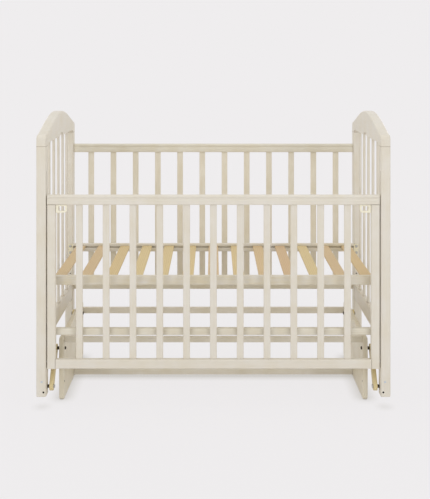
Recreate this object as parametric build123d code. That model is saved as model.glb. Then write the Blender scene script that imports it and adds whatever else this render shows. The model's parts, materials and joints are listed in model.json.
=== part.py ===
from build123d import *
from math import atan2, degrees, hypot
import os

os.makedirs("parts", exist_ok=True)

# Pendulum crib. Millimetres, +Z up, origin on the floor under the middle of the crib.
# X runs along the crib, -Y is the side that can be lowered, +Y is the fixed side.
# The lowering side is modelled in its lowered place, as it rests.

# Overall size
crib_length = 1250.0
crib_width = 660.0

# End posts
post_thick = 35.0
post_depth = 45.0
post_foot_z = 42.0
post_top_z = 925.0
post_round = 6.0
post_foot_round = 3.0

# Arched crown of each end
crown_side_height = 26.0
crown_shoulder_height = 42.0
crown_shoulder_inset = 18.0
crown_wave_height = 68.0
crown_wave_inset = 115.0
crown_peak_height = 106.0
crown_arch_rise = 11.0
crown_arch_run = 34.0
crown_notch_half = 32.0
crown_notch_rise = 12.0
crown_corner_in = 4.9
crown_corner_drop = 5.4
crown_shoulder_slope = 0.22
crown_arch_slope = 1.2
crown_notch_slope = 2.5
crown_round = 6.0
crown_dowel_r = 5.0
crown_dowel_length = 50.0

# Bars, all of one lath section
bar_width = 24.0
bar_thick = 8.0
bar_round = 3.0
bar_tenon = 12.0

# Infill of the end panels
infill_inset = 13.5
end_bar_count = 5
cross_bottom_z = 225.0
cross_height = 62.0
cross_thick = 20.0
cross_round = 4.0

# Rails of the two long sides
side_height = 613.0
rear_rail_below_top = 51.0
rail_thick = 20.0
top_rail_height = 35.0
low_rail_height = 33.0
rail_round = 6.0
low_rail_round = 4.0
cove_depth = 2.5
cove_height = 11.0
cove_below_top = 13.5
rear_bar_count = 12
rear_bar_end_gap = 61.0

# Lowering side
drop_travel = 120.0
drop_clear = 3.0
drop_front_inset = 2.0
stile_width = 30.0
stile_round = 4.0
drop_bar_count = 11
tenon_thick = 8.0
tenon_length = 18.0
tenon_shoulder = 6.0
rail_tenon_length = 12.6
rail_end_round = 1.0

# Guide pins at the foot of the lowering side and their grooves in the posts
guide_pin_r = 4.0
guide_pin_above_foot = 24.0
guide_pin_sunk = 16.0
guide_pin_reach = 8.5
groove_clear = 0.5

# Spring catches of the lowering side
catch_below_rail = 6.0
catch_bolt_r = 4.0
catch_bolt_reach = 4.5
catch_bolt_clear = 0.3
catch_bolt_round = 1.6
catch_bolt_sunk = 5.5
catch_hole_depth = 12.0
catch_travel = 10.0
pull_length = 39.0
pull_height = 27.5
pull_thick = 12.0
pull_head = 8.0
pull_nose = 6.5
pull_top = 4.0
pull_foot = 6.0
pull_gap = 0.5
pull_corner = 2.5
pull_nose_round = 11.0
pull_window_round = 4.0
pull_edge_round = 1.2
collar_r = 5.2
collar_thick = 2.0
collar_from_edge = 4.0
spring_bore_r = 5.6
spring_bore_depth = 24.0
spring_r = 4.8
spring_wire_r = 0.5
spring_turns = 5
spring_end_clear = 0.05

# Stretcher of the swinging crib
stretcher_depth = 20.0
stretcher_height = 24.0
stretcher_above_cross = 28.0

# Slatted mattress base
deck_top_z = 459.0
deck_board_height = 33.0
deck_board_thick = 18.0
deck_board_round = 3.0
slat_count = 13
slat_end_gap = 13.0
slat_width = 40.0
slat_thick = 8.0
slat_lip = 9.0
slat_groove_depth = 9.0
slat_end_clear = 1.0
slat_round = 2.0

# Corner brackets of the mattress base
bracket_thick = 2.0
bracket_reach = 22.0
bracket_height = 47.0
bracket_below_top = 5.0
bracket_leg = 20.0
bracket_waist = 3.0
bracket_waist_height = 4.0
bracket_screw_inset = 11.5
bracket_screw_pitch = 27.0
bracket_screw_below_top = 13.5
bracket_screw_r = 2.5
bracket_screw_head_r = 4.5
bracket_screw_head = 2.5
bracket_screw_dome = 1.5
bracket_screw_length = 16.0
level_pitch = 88.0
level_hole_depth = 14.0
board_screw_r = 2.0
board_screw_head_r = 3.5
board_screw_head = 1.4
board_screw_length = 18.0
board_screw_inset = 4.5
board_screw_above_foot = 8.5

# Connector bolts of the long rails, with barrel nuts
joint_bolt_r = 3.0
joint_head_r = 6.5
joint_head = 3.0
joint_bolt_length = 64.0
barrel_r = 5.0
barrel_length = 14.0
barrel_back = 9.0

# Pendulum base
base_board_thick = 18.0
base_length = 490.0
base_height = 225.0
base_corner_r = 12.0
base_edge_round = 5.0
base_beam_depth = 16.0
front_beam_height = 20.0
front_beam_inset = 10.0
rear_beam_height = 24.0
rear_beam_drop = 23.0
base_beam_round = 2.0
floor_beam_thick = 18.0
floor_beam_height = 50.0
floor_beam_lift = 8.0
floor_beam_round = 3.0
floor_screw_inset = 12.5
lock_hole_r = 3.5
lock_hole_from_edge = 15.0
lock_hole_z = 63.0
base_screw_r = 2.5
base_screw_head_r = 5.0
base_screw_head = 3.0
base_screw_length = 50.0

# Swing links and their pivots
link_thick = 14.0
link_width = 30.0
link_round = 2.0
upper_pivot_from_end = 23.0
upper_pivot_below_top = 44.0
lower_pivot_from_face = 30.0
lower_pivot_above_foot = 28.5
upper_spacer = 9.0
lower_spacer = 8.0
pivot_r = 4.0
pivot_run_clear = 0.05
bush_wall = 2.0
pivot_face_clear = 0.3
spacer_r = 8.0
spacer_bore_clear = 0.2
bolt_head_r = 7.0
bolt_head = 4.0
bolt_head_round = 2.0
bolt_socket_r = 2.5
bolt_socket_depth = 2.0
cap_nut_r = 5.5
cap_nut_height = 4.5
cap_nut_round = 2.2
cap_nut_bore = 2.7
insert_r = 6.0
insert_length = 18.0
insert_bore = 14.4

# Holes in the front face of each front post, and the plug of the upper one
plug_r = 4.0
plug_depth = 8.0
plug_x_inset = 20.0
plug_above_foot = 53.5
foot_bore_r = 3.5
foot_bore_depth = 25.0
foot_bore_x_inset = 26.0
foot_bore_above_foot = 17.0

# Modelling margins
tiny = 0.01
overrun = 1.0

# Derived places
half_length = crib_length / 2
half_width = crib_width / 2
inner_x = half_length - post_thick
post_x = half_length - post_thick / 2
post_y = half_width - post_depth / 2
infill_x = inner_x + infill_inset
inner_y = half_width - post_depth
rear_top_z = post_top_z - rear_rail_below_top
low_rail_z = rear_top_z - side_height
stretcher_bottom_z = cross_bottom_z + stretcher_above_cross
drop_top_z = rear_top_z - drop_travel
drop_foot_z = drop_top_z - side_height
drop_y = -half_width + drop_front_inset + rail_thick / 2
drop_half = inner_x - drop_clear
stile_x = drop_half - stile_width / 2
stile_inner = drop_half - stile_width
rail_under_z = drop_top_z - top_rail_height
catch_z = rail_under_z - catch_below_rail
guide_z = drop_foot_z + guide_pin_above_foot
link_outer_x = inner_x - lower_spacer
link_inner_x = link_outer_x - link_thick
base_outer_x = link_inner_x - upper_spacer
base_inner_x = base_outer_x - base_board_thick
upper_pivot_y = base_length / 2 - upper_pivot_from_end
upper_pivot_z = base_height - upper_pivot_below_top
lower_pivot_y = half_width - lower_pivot_from_face
lower_pivot_z = post_foot_z + lower_pivot_above_foot
plug_z = post_foot_z + plug_above_foot
foot_bore_z = post_foot_z + foot_bore_above_foot
link_eye_r = pivot_r + pivot_run_clear + bush_wall
link_span = hypot(lower_pivot_y - upper_pivot_y, upper_pivot_z - lower_pivot_z)
link_lean = degrees(atan2(lower_pivot_y - upper_pivot_y, upper_pivot_z - lower_pivot_z))
deck_half = inner_x - bracket_thick
slat_top_z = deck_top_z - slat_lip
bracket_top_z = deck_top_z - bracket_below_top


def block(x0, x1, y0, y1, z0, z1):
    """A box between two corners."""
    middle = Pos((x0 + x1) / 2, (y0 + y1) / 2, (z0 + z1) / 2)
    return middle * Box(abs(x1 - x0), abs(y1 - y0), abs(z1 - z0))


def rod_x(x0, x1, y, z, radius):
    """A round bar along X."""
    return Pos((x0 + x1) / 2, y, z) * Rot(0, 90, 0) * Cylinder(radius, abs(x1 - x0))


def rod_y(x, y0, y1, z, radius):
    """A round bar along Y."""
    return Pos(x, (y0 + y1) / 2, z) * Rot(90, 0, 0) * Cylinder(radius, abs(y1 - y0))


def rod_z(x, y, z0, z1, radius):
    """A round bar along Z."""
    return Pos(x, y, (z0 + z1) / 2) * Cylinder(radius, abs(z1 - z0))


def eased(solid, axis, radius):
    """Round every straight edge of a solid that runs along one axis."""
    return fillet(solid.edges().filter_by(axis), radius)


def mirror_x(solid):
    """The same piece at the other end of the crib."""
    return mirror(solid, about=Plane.YZ)


def mirror_y(solid):
    """The same piece at the other long side."""
    return mirror(solid, about=Plane.XZ)


def four(solid):
    """A piece repeated at all four corners."""
    pair = [solid, mirror_x(solid)]
    return pair + [mirror_y(one) for one in pair]


def save(name, *solids):
    """Write the solids of one node to its file."""
    whole = [part for solid in solids for part in solid.solids()]
    shape = whole[0] if len(whole) == 1 else Compound(children=whole)
    shape.label = name
    export_step(shape, f"parts/{name}.step")


def save_ends(name, solid):
    """Write a piece of the +X end and its mirror image at the -X end."""
    save(name + "_right", solid)
    save(name + "_left", mirror_x(solid))


# Laths


def lath_z(x, y, z0, z1, wide_along_x):
    """An upright bar with rounded edges, its wide face across X or across Y."""
    wide, thin = bar_width / 2, bar_thick / 2
    dx, dy = (wide, thin) if wide_along_x else (thin, wide)
    return eased(block(x - dx, x + dx, y - dy, y + dy, z0, z1), Axis.Z, bar_round)


def row(count, pitch):
    """Centres of a row of equal pieces about the middle."""
    return [(i - (count - 1) / 2) * pitch for i in range(count)]


def even_pitch(clear, count, width):
    """Pitch that leaves equal gaps between the pieces and the two sides."""
    return (clear + width) / (count + 1)


def inset_pitch(clear, count, width, end_gap):
    """Pitch that leaves a set gap between the row's outer pieces and the two sides."""
    return (clear - 2 * end_gap - width) / (count - 1)


end_bar_y = row(end_bar_count, even_pitch(2 * inner_y, end_bar_count, bar_width))
rear_bar_x = row(rear_bar_count, inset_pitch(2 * inner_x, rear_bar_count, bar_width, rear_bar_end_gap))
drop_bar_x = row(drop_bar_count, even_pitch(2 * stile_inner, drop_bar_count, bar_width))
slat_x = row(slat_count, inset_pitch(2 * deck_half, slat_count, slat_width, slat_end_gap))

crown_under_z = post_top_z + crown_arch_rise
cross_top_z = cross_bottom_z + cross_height


def end_bars():
    """Bars of the +X end, tenoned into the cross board and the crown."""
    bars = []
    for y in end_bar_y:
        rise = crown_notch_rise if abs(y) < crown_notch_half - bar_width / 2 else 0.0
        top = crown_under_z + rise + bar_tenon
        bars.append(lath_z(infill_x, y, cross_top_z - bar_tenon, top, False))
    return bars


def rear_bars():
    """Bars of the fixed side."""
    top = rear_top_z - top_rail_height + bar_tenon
    foot = low_rail_z + low_rail_height - bar_tenon
    return [lath_z(x, post_y, foot, top, True) for x in rear_bar_x]


def drop_bars():
    """Bars of the lowering side."""
    foot = drop_foot_z + low_rail_height - bar_tenon
    return [lath_z(x, drop_y, foot, rail_under_z + bar_tenon, True) for x in drop_bar_x]


# End panels


def crown():
    """Arched top board of the +X end, with its scalloped lower edge."""
    shoulder = (half_width - crown_shoulder_inset, post_top_z + crown_shoulder_height)
    wave = (half_width - crown_wave_inset, post_top_z + crown_wave_height)
    side = (half_width, post_top_z + crown_side_height)
    corner = (half_width - crown_corner_in, shoulder[1] - crown_corner_drop)
    peak = (0.0, post_top_z + crown_peak_height)
    notch_z = crown_under_z + crown_notch_rise
    arch_y = inner_y - crown_arch_run
    with BuildPart() as board:
        with BuildSketch(Plane.YZ.offset(inner_x)) as face:
            with BuildLine():
                Spline(
                    (-shoulder[0], shoulder[1]),
                    (-wave[0], wave[1]),
                    peak,
                    wave,
                    shoulder,
                    tangents=[(1.0, crown_shoulder_slope), (1.0, -crown_shoulder_slope)],
                )
                ThreePointArc(shoulder, corner, side)
                Line(side, (half_width, post_top_z))
                Line((half_width, post_top_z), (inner_y, post_top_z))
                Spline(
                    (inner_y, post_top_z),
                    (arch_y, crown_under_z),
                    tangents=[(-1.0, crown_arch_slope), (-1.0, 0.0)],
                )
                Line((arch_y, crown_under_z), (crown_notch_half, crown_under_z))
                Spline(
                    (crown_notch_half, crown_under_z),
                    (0.0, notch_z),
                    (-crown_notch_half, crown_under_z),
                    tangents=[(-1.0, crown_notch_slope), (-1.0, -crown_notch_slope)],
                )
                Line((-crown_notch_half, crown_under_z), (-arch_y, crown_under_z))
                Spline(
                    (-arch_y, crown_under_z),
                    (-inner_y, post_top_z),
                    tangents=[(-1.0, 0.0), (-1.0, -crown_arch_slope)],
                )
                Line((-inner_y, post_top_z), (-half_width, post_top_z))
                Line((-half_width, post_top_z), (-side[0], side[1]))
                ThreePointArc((-side[0], side[1]), (-corner[0], corner[1]), (-shoulder[0], shoulder[1]))
            make_face()
        extrude(amount=post_thick)
    body = board.part
    top = [e for e in body.edges() if on_outline(e)]
    body = fillet(top, crown_round)
    for bar in end_bars():
        body -= bar
    return body - dowel_pair()


def on_outline(edge):
    """True for the edges of the crown's two faces that run round its outer side and top."""
    box = edge.bounding_box()
    flat = box.max.X - box.min.X < tiny
    outer = box.max.Z > post_top_z + crown_side_height - tiny
    upright = box.min.Z > post_top_z - tiny and box.max.Z - box.min.Z > tiny
    return flat and outer and upright


def dowel_pair():
    """Dowels between the crown and the two posts of the +X end."""
    low = post_top_z - crown_dowel_length / 2
    high = post_top_z + crown_dowel_length / 2
    return [rod_z(post_x, y, low, high, crown_dowel_r) for y in (-post_y, post_y)]


def cross_board():
    """Lower board between the posts of the +X end, with a tenon at each end."""
    x0, x1 = infill_x - cross_thick / 2, infill_x + cross_thick / 2
    body = eased(block(x0, x1, -inner_y, inner_y, cross_bottom_z, cross_top_z), Axis.Y, cross_round)
    for end in (-1, 1):
        body += cross_tenon(end)
    for cutter in end_bars() + stretcher_bolts():
        body -= cutter
    return body


def cross_tenon(end):
    """Tenon of the cross board in one post; end is -1 at the front and 1 at the rear."""
    thin = tenon_thick / 2
    low, high = cross_bottom_z + tenon_shoulder, cross_top_z - tenon_shoulder
    return block(infill_x - thin, infill_x + thin, end * inner_y, end * (inner_y + tenon_length), low, high)


def post_blank(y):
    """A rounded post of the +X end with its dowel and tenon housings."""
    y0, y1 = y - post_depth / 2, y + post_depth / 2
    body = eased(block(inner_x, half_length, y0, y1, post_foot_z, post_top_z), Axis.Z, post_round)
    body = fillet(body.faces().sort_by(Axis.Z)[0].edges(), post_foot_round)
    for dowel in dowel_pair():
        body -= dowel
    end = 1 if y > 0 else -1
    body -= cross_tenon(end)
    body -= rod_x(inner_x, inner_x + insert_length, end * lower_pivot_y, lower_pivot_z, insert_r)
    return body


def front_post():
    """Front post of the +X end, with grooves and catch hole for the lowering side."""
    body = post_blank(-post_y)
    body -= guide_groove() + catch_groove()
    catch_top = catch_z + drop_travel
    reach = inner_x + catch_hole_depth
    body -= rod_x(inner_x - overrun, reach, drop_y, catch_top, catch_bolt_r + groove_clear)
    body -= post_plug()
    face, x = -half_width, half_length - foot_bore_x_inset
    body -= rod_y(x, face - overrun, face + foot_bore_depth, foot_bore_z, foot_bore_r)
    for bolt in stretcher_bolts():
        body -= bolt
    return body - level_holes(-1)


def rear_post():
    """Rear post of the +X end, bored for the rail bolts and the bracket screws."""
    body = post_blank(post_y)
    for bolt in rail_bolts():
        body -= bolt
    return body - level_holes(1)


def slot_z(low, high, depth, radius):
    """A round-ended upright groove in the inner face of the front post."""
    body = block(inner_x - overrun, inner_x + depth, drop_y - radius, drop_y + radius, low, high)
    body += rod_x(inner_x - overrun, inner_x + depth, drop_y, low, radius)
    return body + rod_x(inner_x - overrun, inner_x + depth, drop_y, high, radius)


def guide_groove():
    """Groove of the guide pin; its foot is the stop of the lowering side."""
    depth = guide_pin_reach - drop_clear + groove_clear
    return slot_z(guide_z, guide_z + drop_travel, depth, guide_pin_r + groove_clear)


def catch_groove():
    """Groove of the catch bolt's tip, as long as the side's travel."""
    depth = catch_bolt_reach + groove_clear
    return slot_z(catch_z, catch_z + drop_travel, depth, catch_bolt_r + groove_clear)


# Fixed rear side


def profiled_rail(half, middle_y, top_z):
    """A top rail with rounded upper edges and a shallow cove along both faces."""
    y0, y1 = middle_y - rail_thick / 2, middle_y + rail_thick / 2
    body = block(-half, half, y0, y1, top_z - top_rail_height, top_z)
    long_edges = body.edges().filter_by(Axis.X)
    body = fillet(long_edges.group_by(Axis.Z)[-1], rail_round)
    body = fillet(body.edges().filter_by(Axis.X).group_by(Axis.Z)[0], low_rail_round)
    cove_r = (cove_height**2 / 4 + cove_depth**2) / (2 * cove_depth)
    cove_z = top_z - cove_below_top
    for face, outward in ((y0, -1), (y1, 1)):
        y = face + outward * (cove_r - cove_depth)
        body -= rod_x(-half - overrun, half + overrun, y, cove_z, cove_r)
    return body


def rear_top_rail():
    """Top rail of the fixed side, between the rear posts."""
    body = profiled_rail(inner_x, post_y, rear_top_z)
    for cutter in rear_bars() + both_ends(rail_bolts() + rail_barrels()):
        body -= cutter
    return body


def rear_low_rail():
    """Lower rail of the fixed side."""
    y0, y1 = post_y - rail_thick / 2, post_y + rail_thick / 2
    body = block(-inner_x, inner_x, y0, y1, low_rail_z, low_rail_z + low_rail_height)
    body = eased(body, Axis.X, low_rail_round)
    for cutter in rear_bars() + both_ends(rail_bolts() + rail_barrels()):
        body -= cutter
    return body


def both_ends(solids):
    """Pieces of the +X end and their mirror images."""
    return solids + [mirror_x(solid) for solid in solids]


def joint_bolt(y, z):
    """Connector bolt along X with its head flush in the outer face of a post."""
    tip = half_length - joint_head
    body = rod_x(tip, half_length, y, z, joint_head_r)
    return body + rod_x(tip - joint_bolt_length, tip, y, z, joint_bolt_r)


def barrel(y_face, y_in, z):
    """Barrel nut across a rail, let in from one face, with the bolt's hole."""
    x = half_length - joint_head - joint_bolt_length + barrel_back
    return rod_y(x, y_face, y_in, z, barrel_r)


def bolt_heights():
    """Heights of the bolts of the fixed side's two rails."""
    return [rear_top_z - top_rail_height / 2 - cove_height / 2, low_rail_z + low_rail_height / 2]


def rail_bolts():
    """Bolts through the rear post of the +X end."""
    return [joint_bolt(post_y, z) for z in bolt_heights()]


def rail_barrels():
    """Barrel nuts of the rail bolts, let in from the rear face."""
    back = post_y + rail_thick / 2
    return [barrel(back, back - barrel_length, z) for z in bolt_heights()]


stretcher_y = -inner_y - stretcher_depth / 2
stretcher_z = stretcher_bottom_z + stretcher_height / 2


def stretcher_bolts():
    """Bolt through the front post of the +X end into the stretcher."""
    return [joint_bolt(stretcher_y, stretcher_z)]


def stretcher_barrels():
    """Barrel nut of the stretcher, let in from its rear face."""
    back = stretcher_y + stretcher_depth / 2
    return [barrel(back, back - barrel_length, stretcher_z)]


def front_stretcher():
    """Stretcher between the front posts, behind the lowering side."""
    y0, y1 = stretcher_y - stretcher_depth / 2, stretcher_y + stretcher_depth / 2
    top = stretcher_bottom_z + stretcher_height
    body = eased(block(-inner_x, inner_x, y0, y1, stretcher_bottom_z, top), Axis.X, low_rail_round)
    for cutter in both_ends(stretcher_bolts() + stretcher_barrels()):
        body -= cutter
    return body


def joint_hardware():
    """Connector bolts and bored barrel nuts of the whole crib."""
    bolts = both_ends(rail_bolts() + stretcher_bolts())
    nuts = both_ends(rail_barrels() + stretcher_barrels())
    bored = []
    for nut in nuts:
        for bolt in bolts:
            nut -= bolt
        bored.append(nut)
    return bolts, bored


# Slatted mattress base


def deck_board(side):
    """Long board of the mattress base; side is -1 at the front and 1 at the rear."""
    y0, y1 = side * (inner_y - deck_board_thick), side * inner_y
    body = block(-deck_half, deck_half, y0, y1, deck_top_z - deck_board_height, deck_top_z)
    body = eased(body, Axis.X, deck_board_round)
    half, low = deck_half + overrun, slat_top_z - slat_thick
    y0, y1 = y0 - side * overrun, y0 + side * slat_groove_depth
    body -= block(-half, half, y0, y1, low, slat_top_z)
    for cutter in both_ends([board_screw(side)]):
        body -= cutter
    return body


def slats():
    """Loose-laid slats, their ends held in the grooves of the two boards."""
    reach = inner_y - deck_board_thick + slat_groove_depth - slat_end_clear
    half, low = slat_width / 2, slat_top_z - slat_thick
    pieces = [block(x - half, x + half, -reach, reach, low, slat_top_z) for x in slat_x]
    return [eased(piece, Axis.Y, slat_round) for piece in pieces]


def bracket_screw_heights():
    """Heights of the two screws of a bracket."""
    top = deck_top_z - bracket_screw_below_top
    return [top, top - bracket_screw_pitch]


def bracket(side):
    """Angle bracket of the +X end: one leg on the post, one on the board's end."""
    face = side * inner_y
    x1 = inner_x + bracket_reach - bracket_thick
    low = bracket_top_z - bracket_height
    leg = block(deck_half, x1, face, face - side * bracket_thick, low, bracket_top_z)
    leg = fillet(leg.edges().filter_by(Axis.Y).group_by(Axis.X)[-1], bracket_waist)
    waist_z = sum(bracket_screw_heights()) / 2
    half = bracket_waist_height / 2
    y0, y1 = face + side * overrun, face - side * (bracket_thick + overrun)
    leg -= block(x1 - bracket_waist, x1 + overrun, y0, y1, waist_z - half, waist_z + half)
    board_low = deck_top_z - deck_board_height + deck_board_round
    leg += block(deck_half, inner_x, face, face - side * bracket_leg, board_low, bracket_top_z)
    for screw in bracket_screws(side) + [board_screw(side)]:
        leg -= screw
    return leg


def bracket_screws(side):
    """Screws of one bracket in its post."""
    face = side * (inner_y - bracket_thick)
    x = inner_x + bracket_screw_inset
    screws = []
    for z in bracket_screw_heights():
        head = rod_y(x, face, face - side * bracket_screw_head, z, bracket_screw_head_r)
        head = fillet(head.edges().sort_by(Axis.Y)[0 if side > 0 else -1], bracket_screw_dome)
        screws.append(head + rod_y(x, face, face + side * bracket_screw_length, z, bracket_screw_r))
    return screws


def board_screw(side):
    """Countersunk screw through the bracket's leg into the end of the board."""
    y = side * (inner_y - deck_board_thick + board_screw_inset)
    z = deck_top_z - deck_board_height + board_screw_above_foot
    body = rod_x(inner_x - board_screw_head, inner_x, y, z, board_screw_head_r)
    return body + rod_x(inner_x - board_screw_length, inner_x - board_screw_head, y, z, board_screw_r)


def level_holes(side):
    """Screw holes of the bracket in one post, at both heights of the mattress base."""
    face = side * inner_y
    x = inner_x + bracket_screw_inset
    holes = []
    for z in bracket_screw_heights():
        start, end = face - side * overrun, face + side * level_hole_depth
        holes.append(rod_y(x, face, end, z, bracket_screw_r))
        holes.append(rod_y(x, start, end, z - level_pitch, bracket_screw_r))
    return holes


# Lowering side


def drop_top_rail():
    """Top rail of the lowering side, over its stiles."""
    body = profiled_rail(drop_half, drop_y, drop_top_z)
    body = fillet(body.faces().sort_by(Axis.X)[0].edges().filter_by(Axis.Z), rail_end_round)
    body = fillet(body.faces().sort_by(Axis.X)[-1].edges().filter_by(Axis.Z), rail_end_round)
    for cutter in drop_bars() + both_ends([stile_tenon()]):
        body -= cutter
    return body


def stile_tenon():
    """Tenon at the head of the stile of the +X end."""
    x0, x1 = stile_inner + tenon_shoulder, drop_half - tenon_shoulder
    thin = tenon_thick / 2
    return block(x0, x1, drop_y - thin, drop_y + thin, rail_under_z, rail_under_z + tenon_length)


def rail_tenon():
    """Tenon of the lowering side's lower rail in the stile of the +X end."""
    low, high = drop_foot_z + tenon_shoulder, drop_foot_z + low_rail_height - tenon_shoulder
    thin = tenon_thick / 2
    reach = stile_inner + rail_tenon_length
    return block(stile_inner, reach, drop_y - thin, drop_y + thin, low, high)


def drop_low_rail():
    """Lower rail of the lowering side, between its stiles."""
    y0, y1 = drop_y - rail_thick / 2, drop_y + rail_thick / 2
    body = block(-stile_inner, stile_inner, y0, y1, drop_foot_z, drop_foot_z + low_rail_height)
    body = eased(body, Axis.X, low_rail_round)
    for tenon in both_ends([rail_tenon()]):
        body += tenon
    for bar in drop_bars():
        body -= bar
    return body


def drop_stile():
    """Stile of the +X end, bored for the catch and its spring."""
    y0, y1 = drop_y - rail_thick / 2, drop_y + rail_thick / 2
    body = eased(block(stile_inner, drop_half, y0, y1, drop_foot_z, rail_under_z), Axis.Z, stile_round)
    body += stile_tenon()
    body -= rail_tenon() + guide_pin()
    bore_r = catch_bolt_r + catch_bolt_clear
    body -= rod_x(stile_inner - overrun, drop_half + overrun, drop_y, catch_z, bore_r)
    return body - rod_x(drop_half - spring_bore_depth, drop_half + overrun, drop_y, catch_z, spring_bore_r)


def guide_pin():
    """Guide pin at the foot of the stile of the +X end."""
    return rod_x(drop_half - guide_pin_sunk, drop_half + guide_pin_reach, drop_y, guide_z, guide_pin_r)


# Spring catches


def panel(x0, x1, z0, z1, y0, y1, low_nose, rest):
    """An upright plate with a large round at its lower corner towards the middle of the crib."""
    body = block(x0, x1, y0, y1, z0, z1)
    upright = body.edges().filter_by(Axis.Y)
    nose = upright.sort_by(Axis.X)[:2].sort_by(Axis.Z)[0]
    others = [edge for edge in upright if edge is not nose]
    body = fillet(nose, low_nose)
    ends = [edge.center() for edge in others]
    kept = [e for e in body.edges().filter_by(Axis.Y) if any((e.center() - c).length < tiny for c in ends)]
    return fillet(kept, rest)


def catch_pull():
    """Finger pull of the +X end: a flat ring, rounded below towards the middle of the crib."""
    x1 = stile_inner - pull_gap
    x0 = x1 - pull_length
    z1 = rail_under_z - pull_gap
    z0 = z1 - pull_height
    y0, y1 = drop_y - pull_thick / 2, drop_y + pull_thick / 2
    body = panel(x0, x1, z0, z1, y0, y1, pull_nose_round, pull_corner)
    window_round = pull_nose_round - pull_foot + pull_edge_round
    window = panel(
        x0 + pull_nose, x1 - pull_head, z0 + pull_foot, z1 - pull_top,
        y0 - overrun, y1 + overrun, window_round, pull_window_round,
    )
    body = body - window
    rims = body.faces().sort_by(Axis.Y)[0].edges() + body.faces().sort_by(Axis.Y)[-1].edges()
    return fillet(rims, pull_edge_round) - catch_bolt()


def catch_bolt():
    """Steel bolt of the catch, with the collar that the spring pushes."""
    foot = stile_inner - pull_gap - catch_bolt_sunk
    tip = inner_x + catch_bolt_reach
    body = rod_x(foot, tip, drop_y, catch_z, catch_bolt_r)
    body = fillet(body.edges().sort_by(Axis.X)[-1], catch_bolt_round)
    ring = drop_half - collar_from_edge
    return body + rod_x(ring - collar_thick, ring, drop_y, catch_z, collar_r)


def catch_spring():
    """Coil spring between the collar and the floor of its bore."""
    gap = spring_wire_r + spring_end_clear
    low = drop_half - spring_bore_depth + gap
    high = drop_half - collar_from_edge - collar_thick - gap
    coil = Helix(pitch=(high - low) / spring_turns, height=high - low, radius=spring_r)
    start = Plane(origin=coil @ 0, z_dir=coil % 0)
    wire = sweep(start * Circle(spring_wire_r), path=coil, is_frenet=True)
    return Pos(low, drop_y, catch_z) * Rot(0, 90, 0) * wire


# Pendulum base


def base_board():
    """Side board of the +X end, standing on the floor."""
    half = base_length / 2
    body = block(base_inner_x, base_outer_x, -half, half, 0, base_height)
    body = fillet(body.edges().filter_by(Axis.X), base_corner_r)
    rims = body.faces().filter_by(Axis.X).edges()
    body = fillet(rims, base_edge_round)
    for y in (-upper_pivot_y, upper_pivot_y):
        body -= rod_x(base_inner_x - overrun, base_outer_x + overrun, y, upper_pivot_z, pivot_r)
    for y in (-half + lock_hole_from_edge, half - lock_hole_from_edge):
        body -= rod_x(base_inner_x - overrun, base_outer_x + overrun, y, lock_hole_z, lock_hole_r)
    for screw in base_screws():
        body -= screw
    return body


front_beam_y = -base_length / 2 + front_beam_inset + base_beam_depth / 2
rear_beam_y = base_length / 2 - base_beam_depth / 2
front_beam_z = base_height - front_beam_height / 2
rear_beam_z = base_height - rear_beam_drop - rear_beam_height / 2


def base_beam(y, z, height):
    """Beam between the side boards, near one of their upper edges."""
    dy, dz = base_beam_depth / 2, height / 2
    body = block(-base_inner_x, base_inner_x, y - dy, y + dy, z - dz, z + dz)
    body = eased(body, Axis.X, base_beam_round)
    for screw in both_ends(base_screws()):
        body -= screw
    return body


def floor_beam():
    """Board on edge between the side boards, just above the floor."""
    half = floor_beam_thick / 2
    top = floor_beam_lift + floor_beam_height
    body = block(-base_inner_x, base_inner_x, -half, half, floor_beam_lift, top)
    body = eased(body, Axis.X, floor_beam_round)
    for screw in both_ends(base_screws()):
        body -= screw
    return body


def base_screw(y, z):
    """Screw from the outer face of the side board into a beam, its head flush."""
    tip = base_outer_x - base_screw_head
    body = rod_x(tip, base_outer_x, y, z, base_screw_head_r)
    return body + rod_x(tip - base_screw_length, tip, y, z, base_screw_r)


def base_screws():
    """Screws of the +X end."""
    low = floor_beam_lift + floor_screw_inset
    high = floor_beam_lift + floor_beam_height - floor_screw_inset
    places = [(front_beam_y, front_beam_z), (rear_beam_y, rear_beam_z), (0.0, low), (0.0, high)]
    return [base_screw(y, z) for y, z in places]


# Swing links, one at each corner


def link():
    """Front link of the +X end, with an eye for a bush near each end."""
    middle_y = -(upper_pivot_y + lower_pivot_y) / 2
    middle_z = (upper_pivot_z + lower_pivot_z) / 2
    flat = SlotCenterToCenter(link_span, link_width)
    bar = extrude(Plane.YZ * flat, link_thick)
    bar = fillet(bar.faces().filter_by(Axis.X).edges(), link_round)
    turned = Rot(90 - link_lean, 0, 0) * bar
    body = Pos(link_inner_x, middle_y, middle_z) * turned
    for y, z in ((-upper_pivot_y, upper_pivot_z), (-lower_pivot_y, lower_pivot_z)):
        body -= rod_x(link_inner_x - overrun, link_outer_x + overrun, y, z, link_eye_r)
    return body


def bush(y, z):
    """Plain bush in one eye of a link."""
    body = rod_x(link_inner_x, link_outer_x, y, z, link_eye_r)
    return body - rod_x(link_inner_x - overrun, link_outer_x + overrun, y, z, pivot_r + pivot_run_clear)


def ring(x0, x1, y, z):
    """Spacer ring round a pivot bolt."""
    body = rod_x(x0, x1, y, z, spacer_r)
    return body - rod_x(x0 - overrun, x1 + overrun, y, z, pivot_r + spacer_bore_clear)


def head_socket(x, outward, y, z):
    """Hexagon socket in a bolt head whose face is at x."""
    deep = x - outward * bolt_socket_depth
    prism = extrude(Plane.YZ * RegularPolygon(bolt_socket_r, 6), bolt_socket_depth + overrun)
    start = min(deep, x + outward * overrun)
    return Pos(start, y, z) * prism


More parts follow.
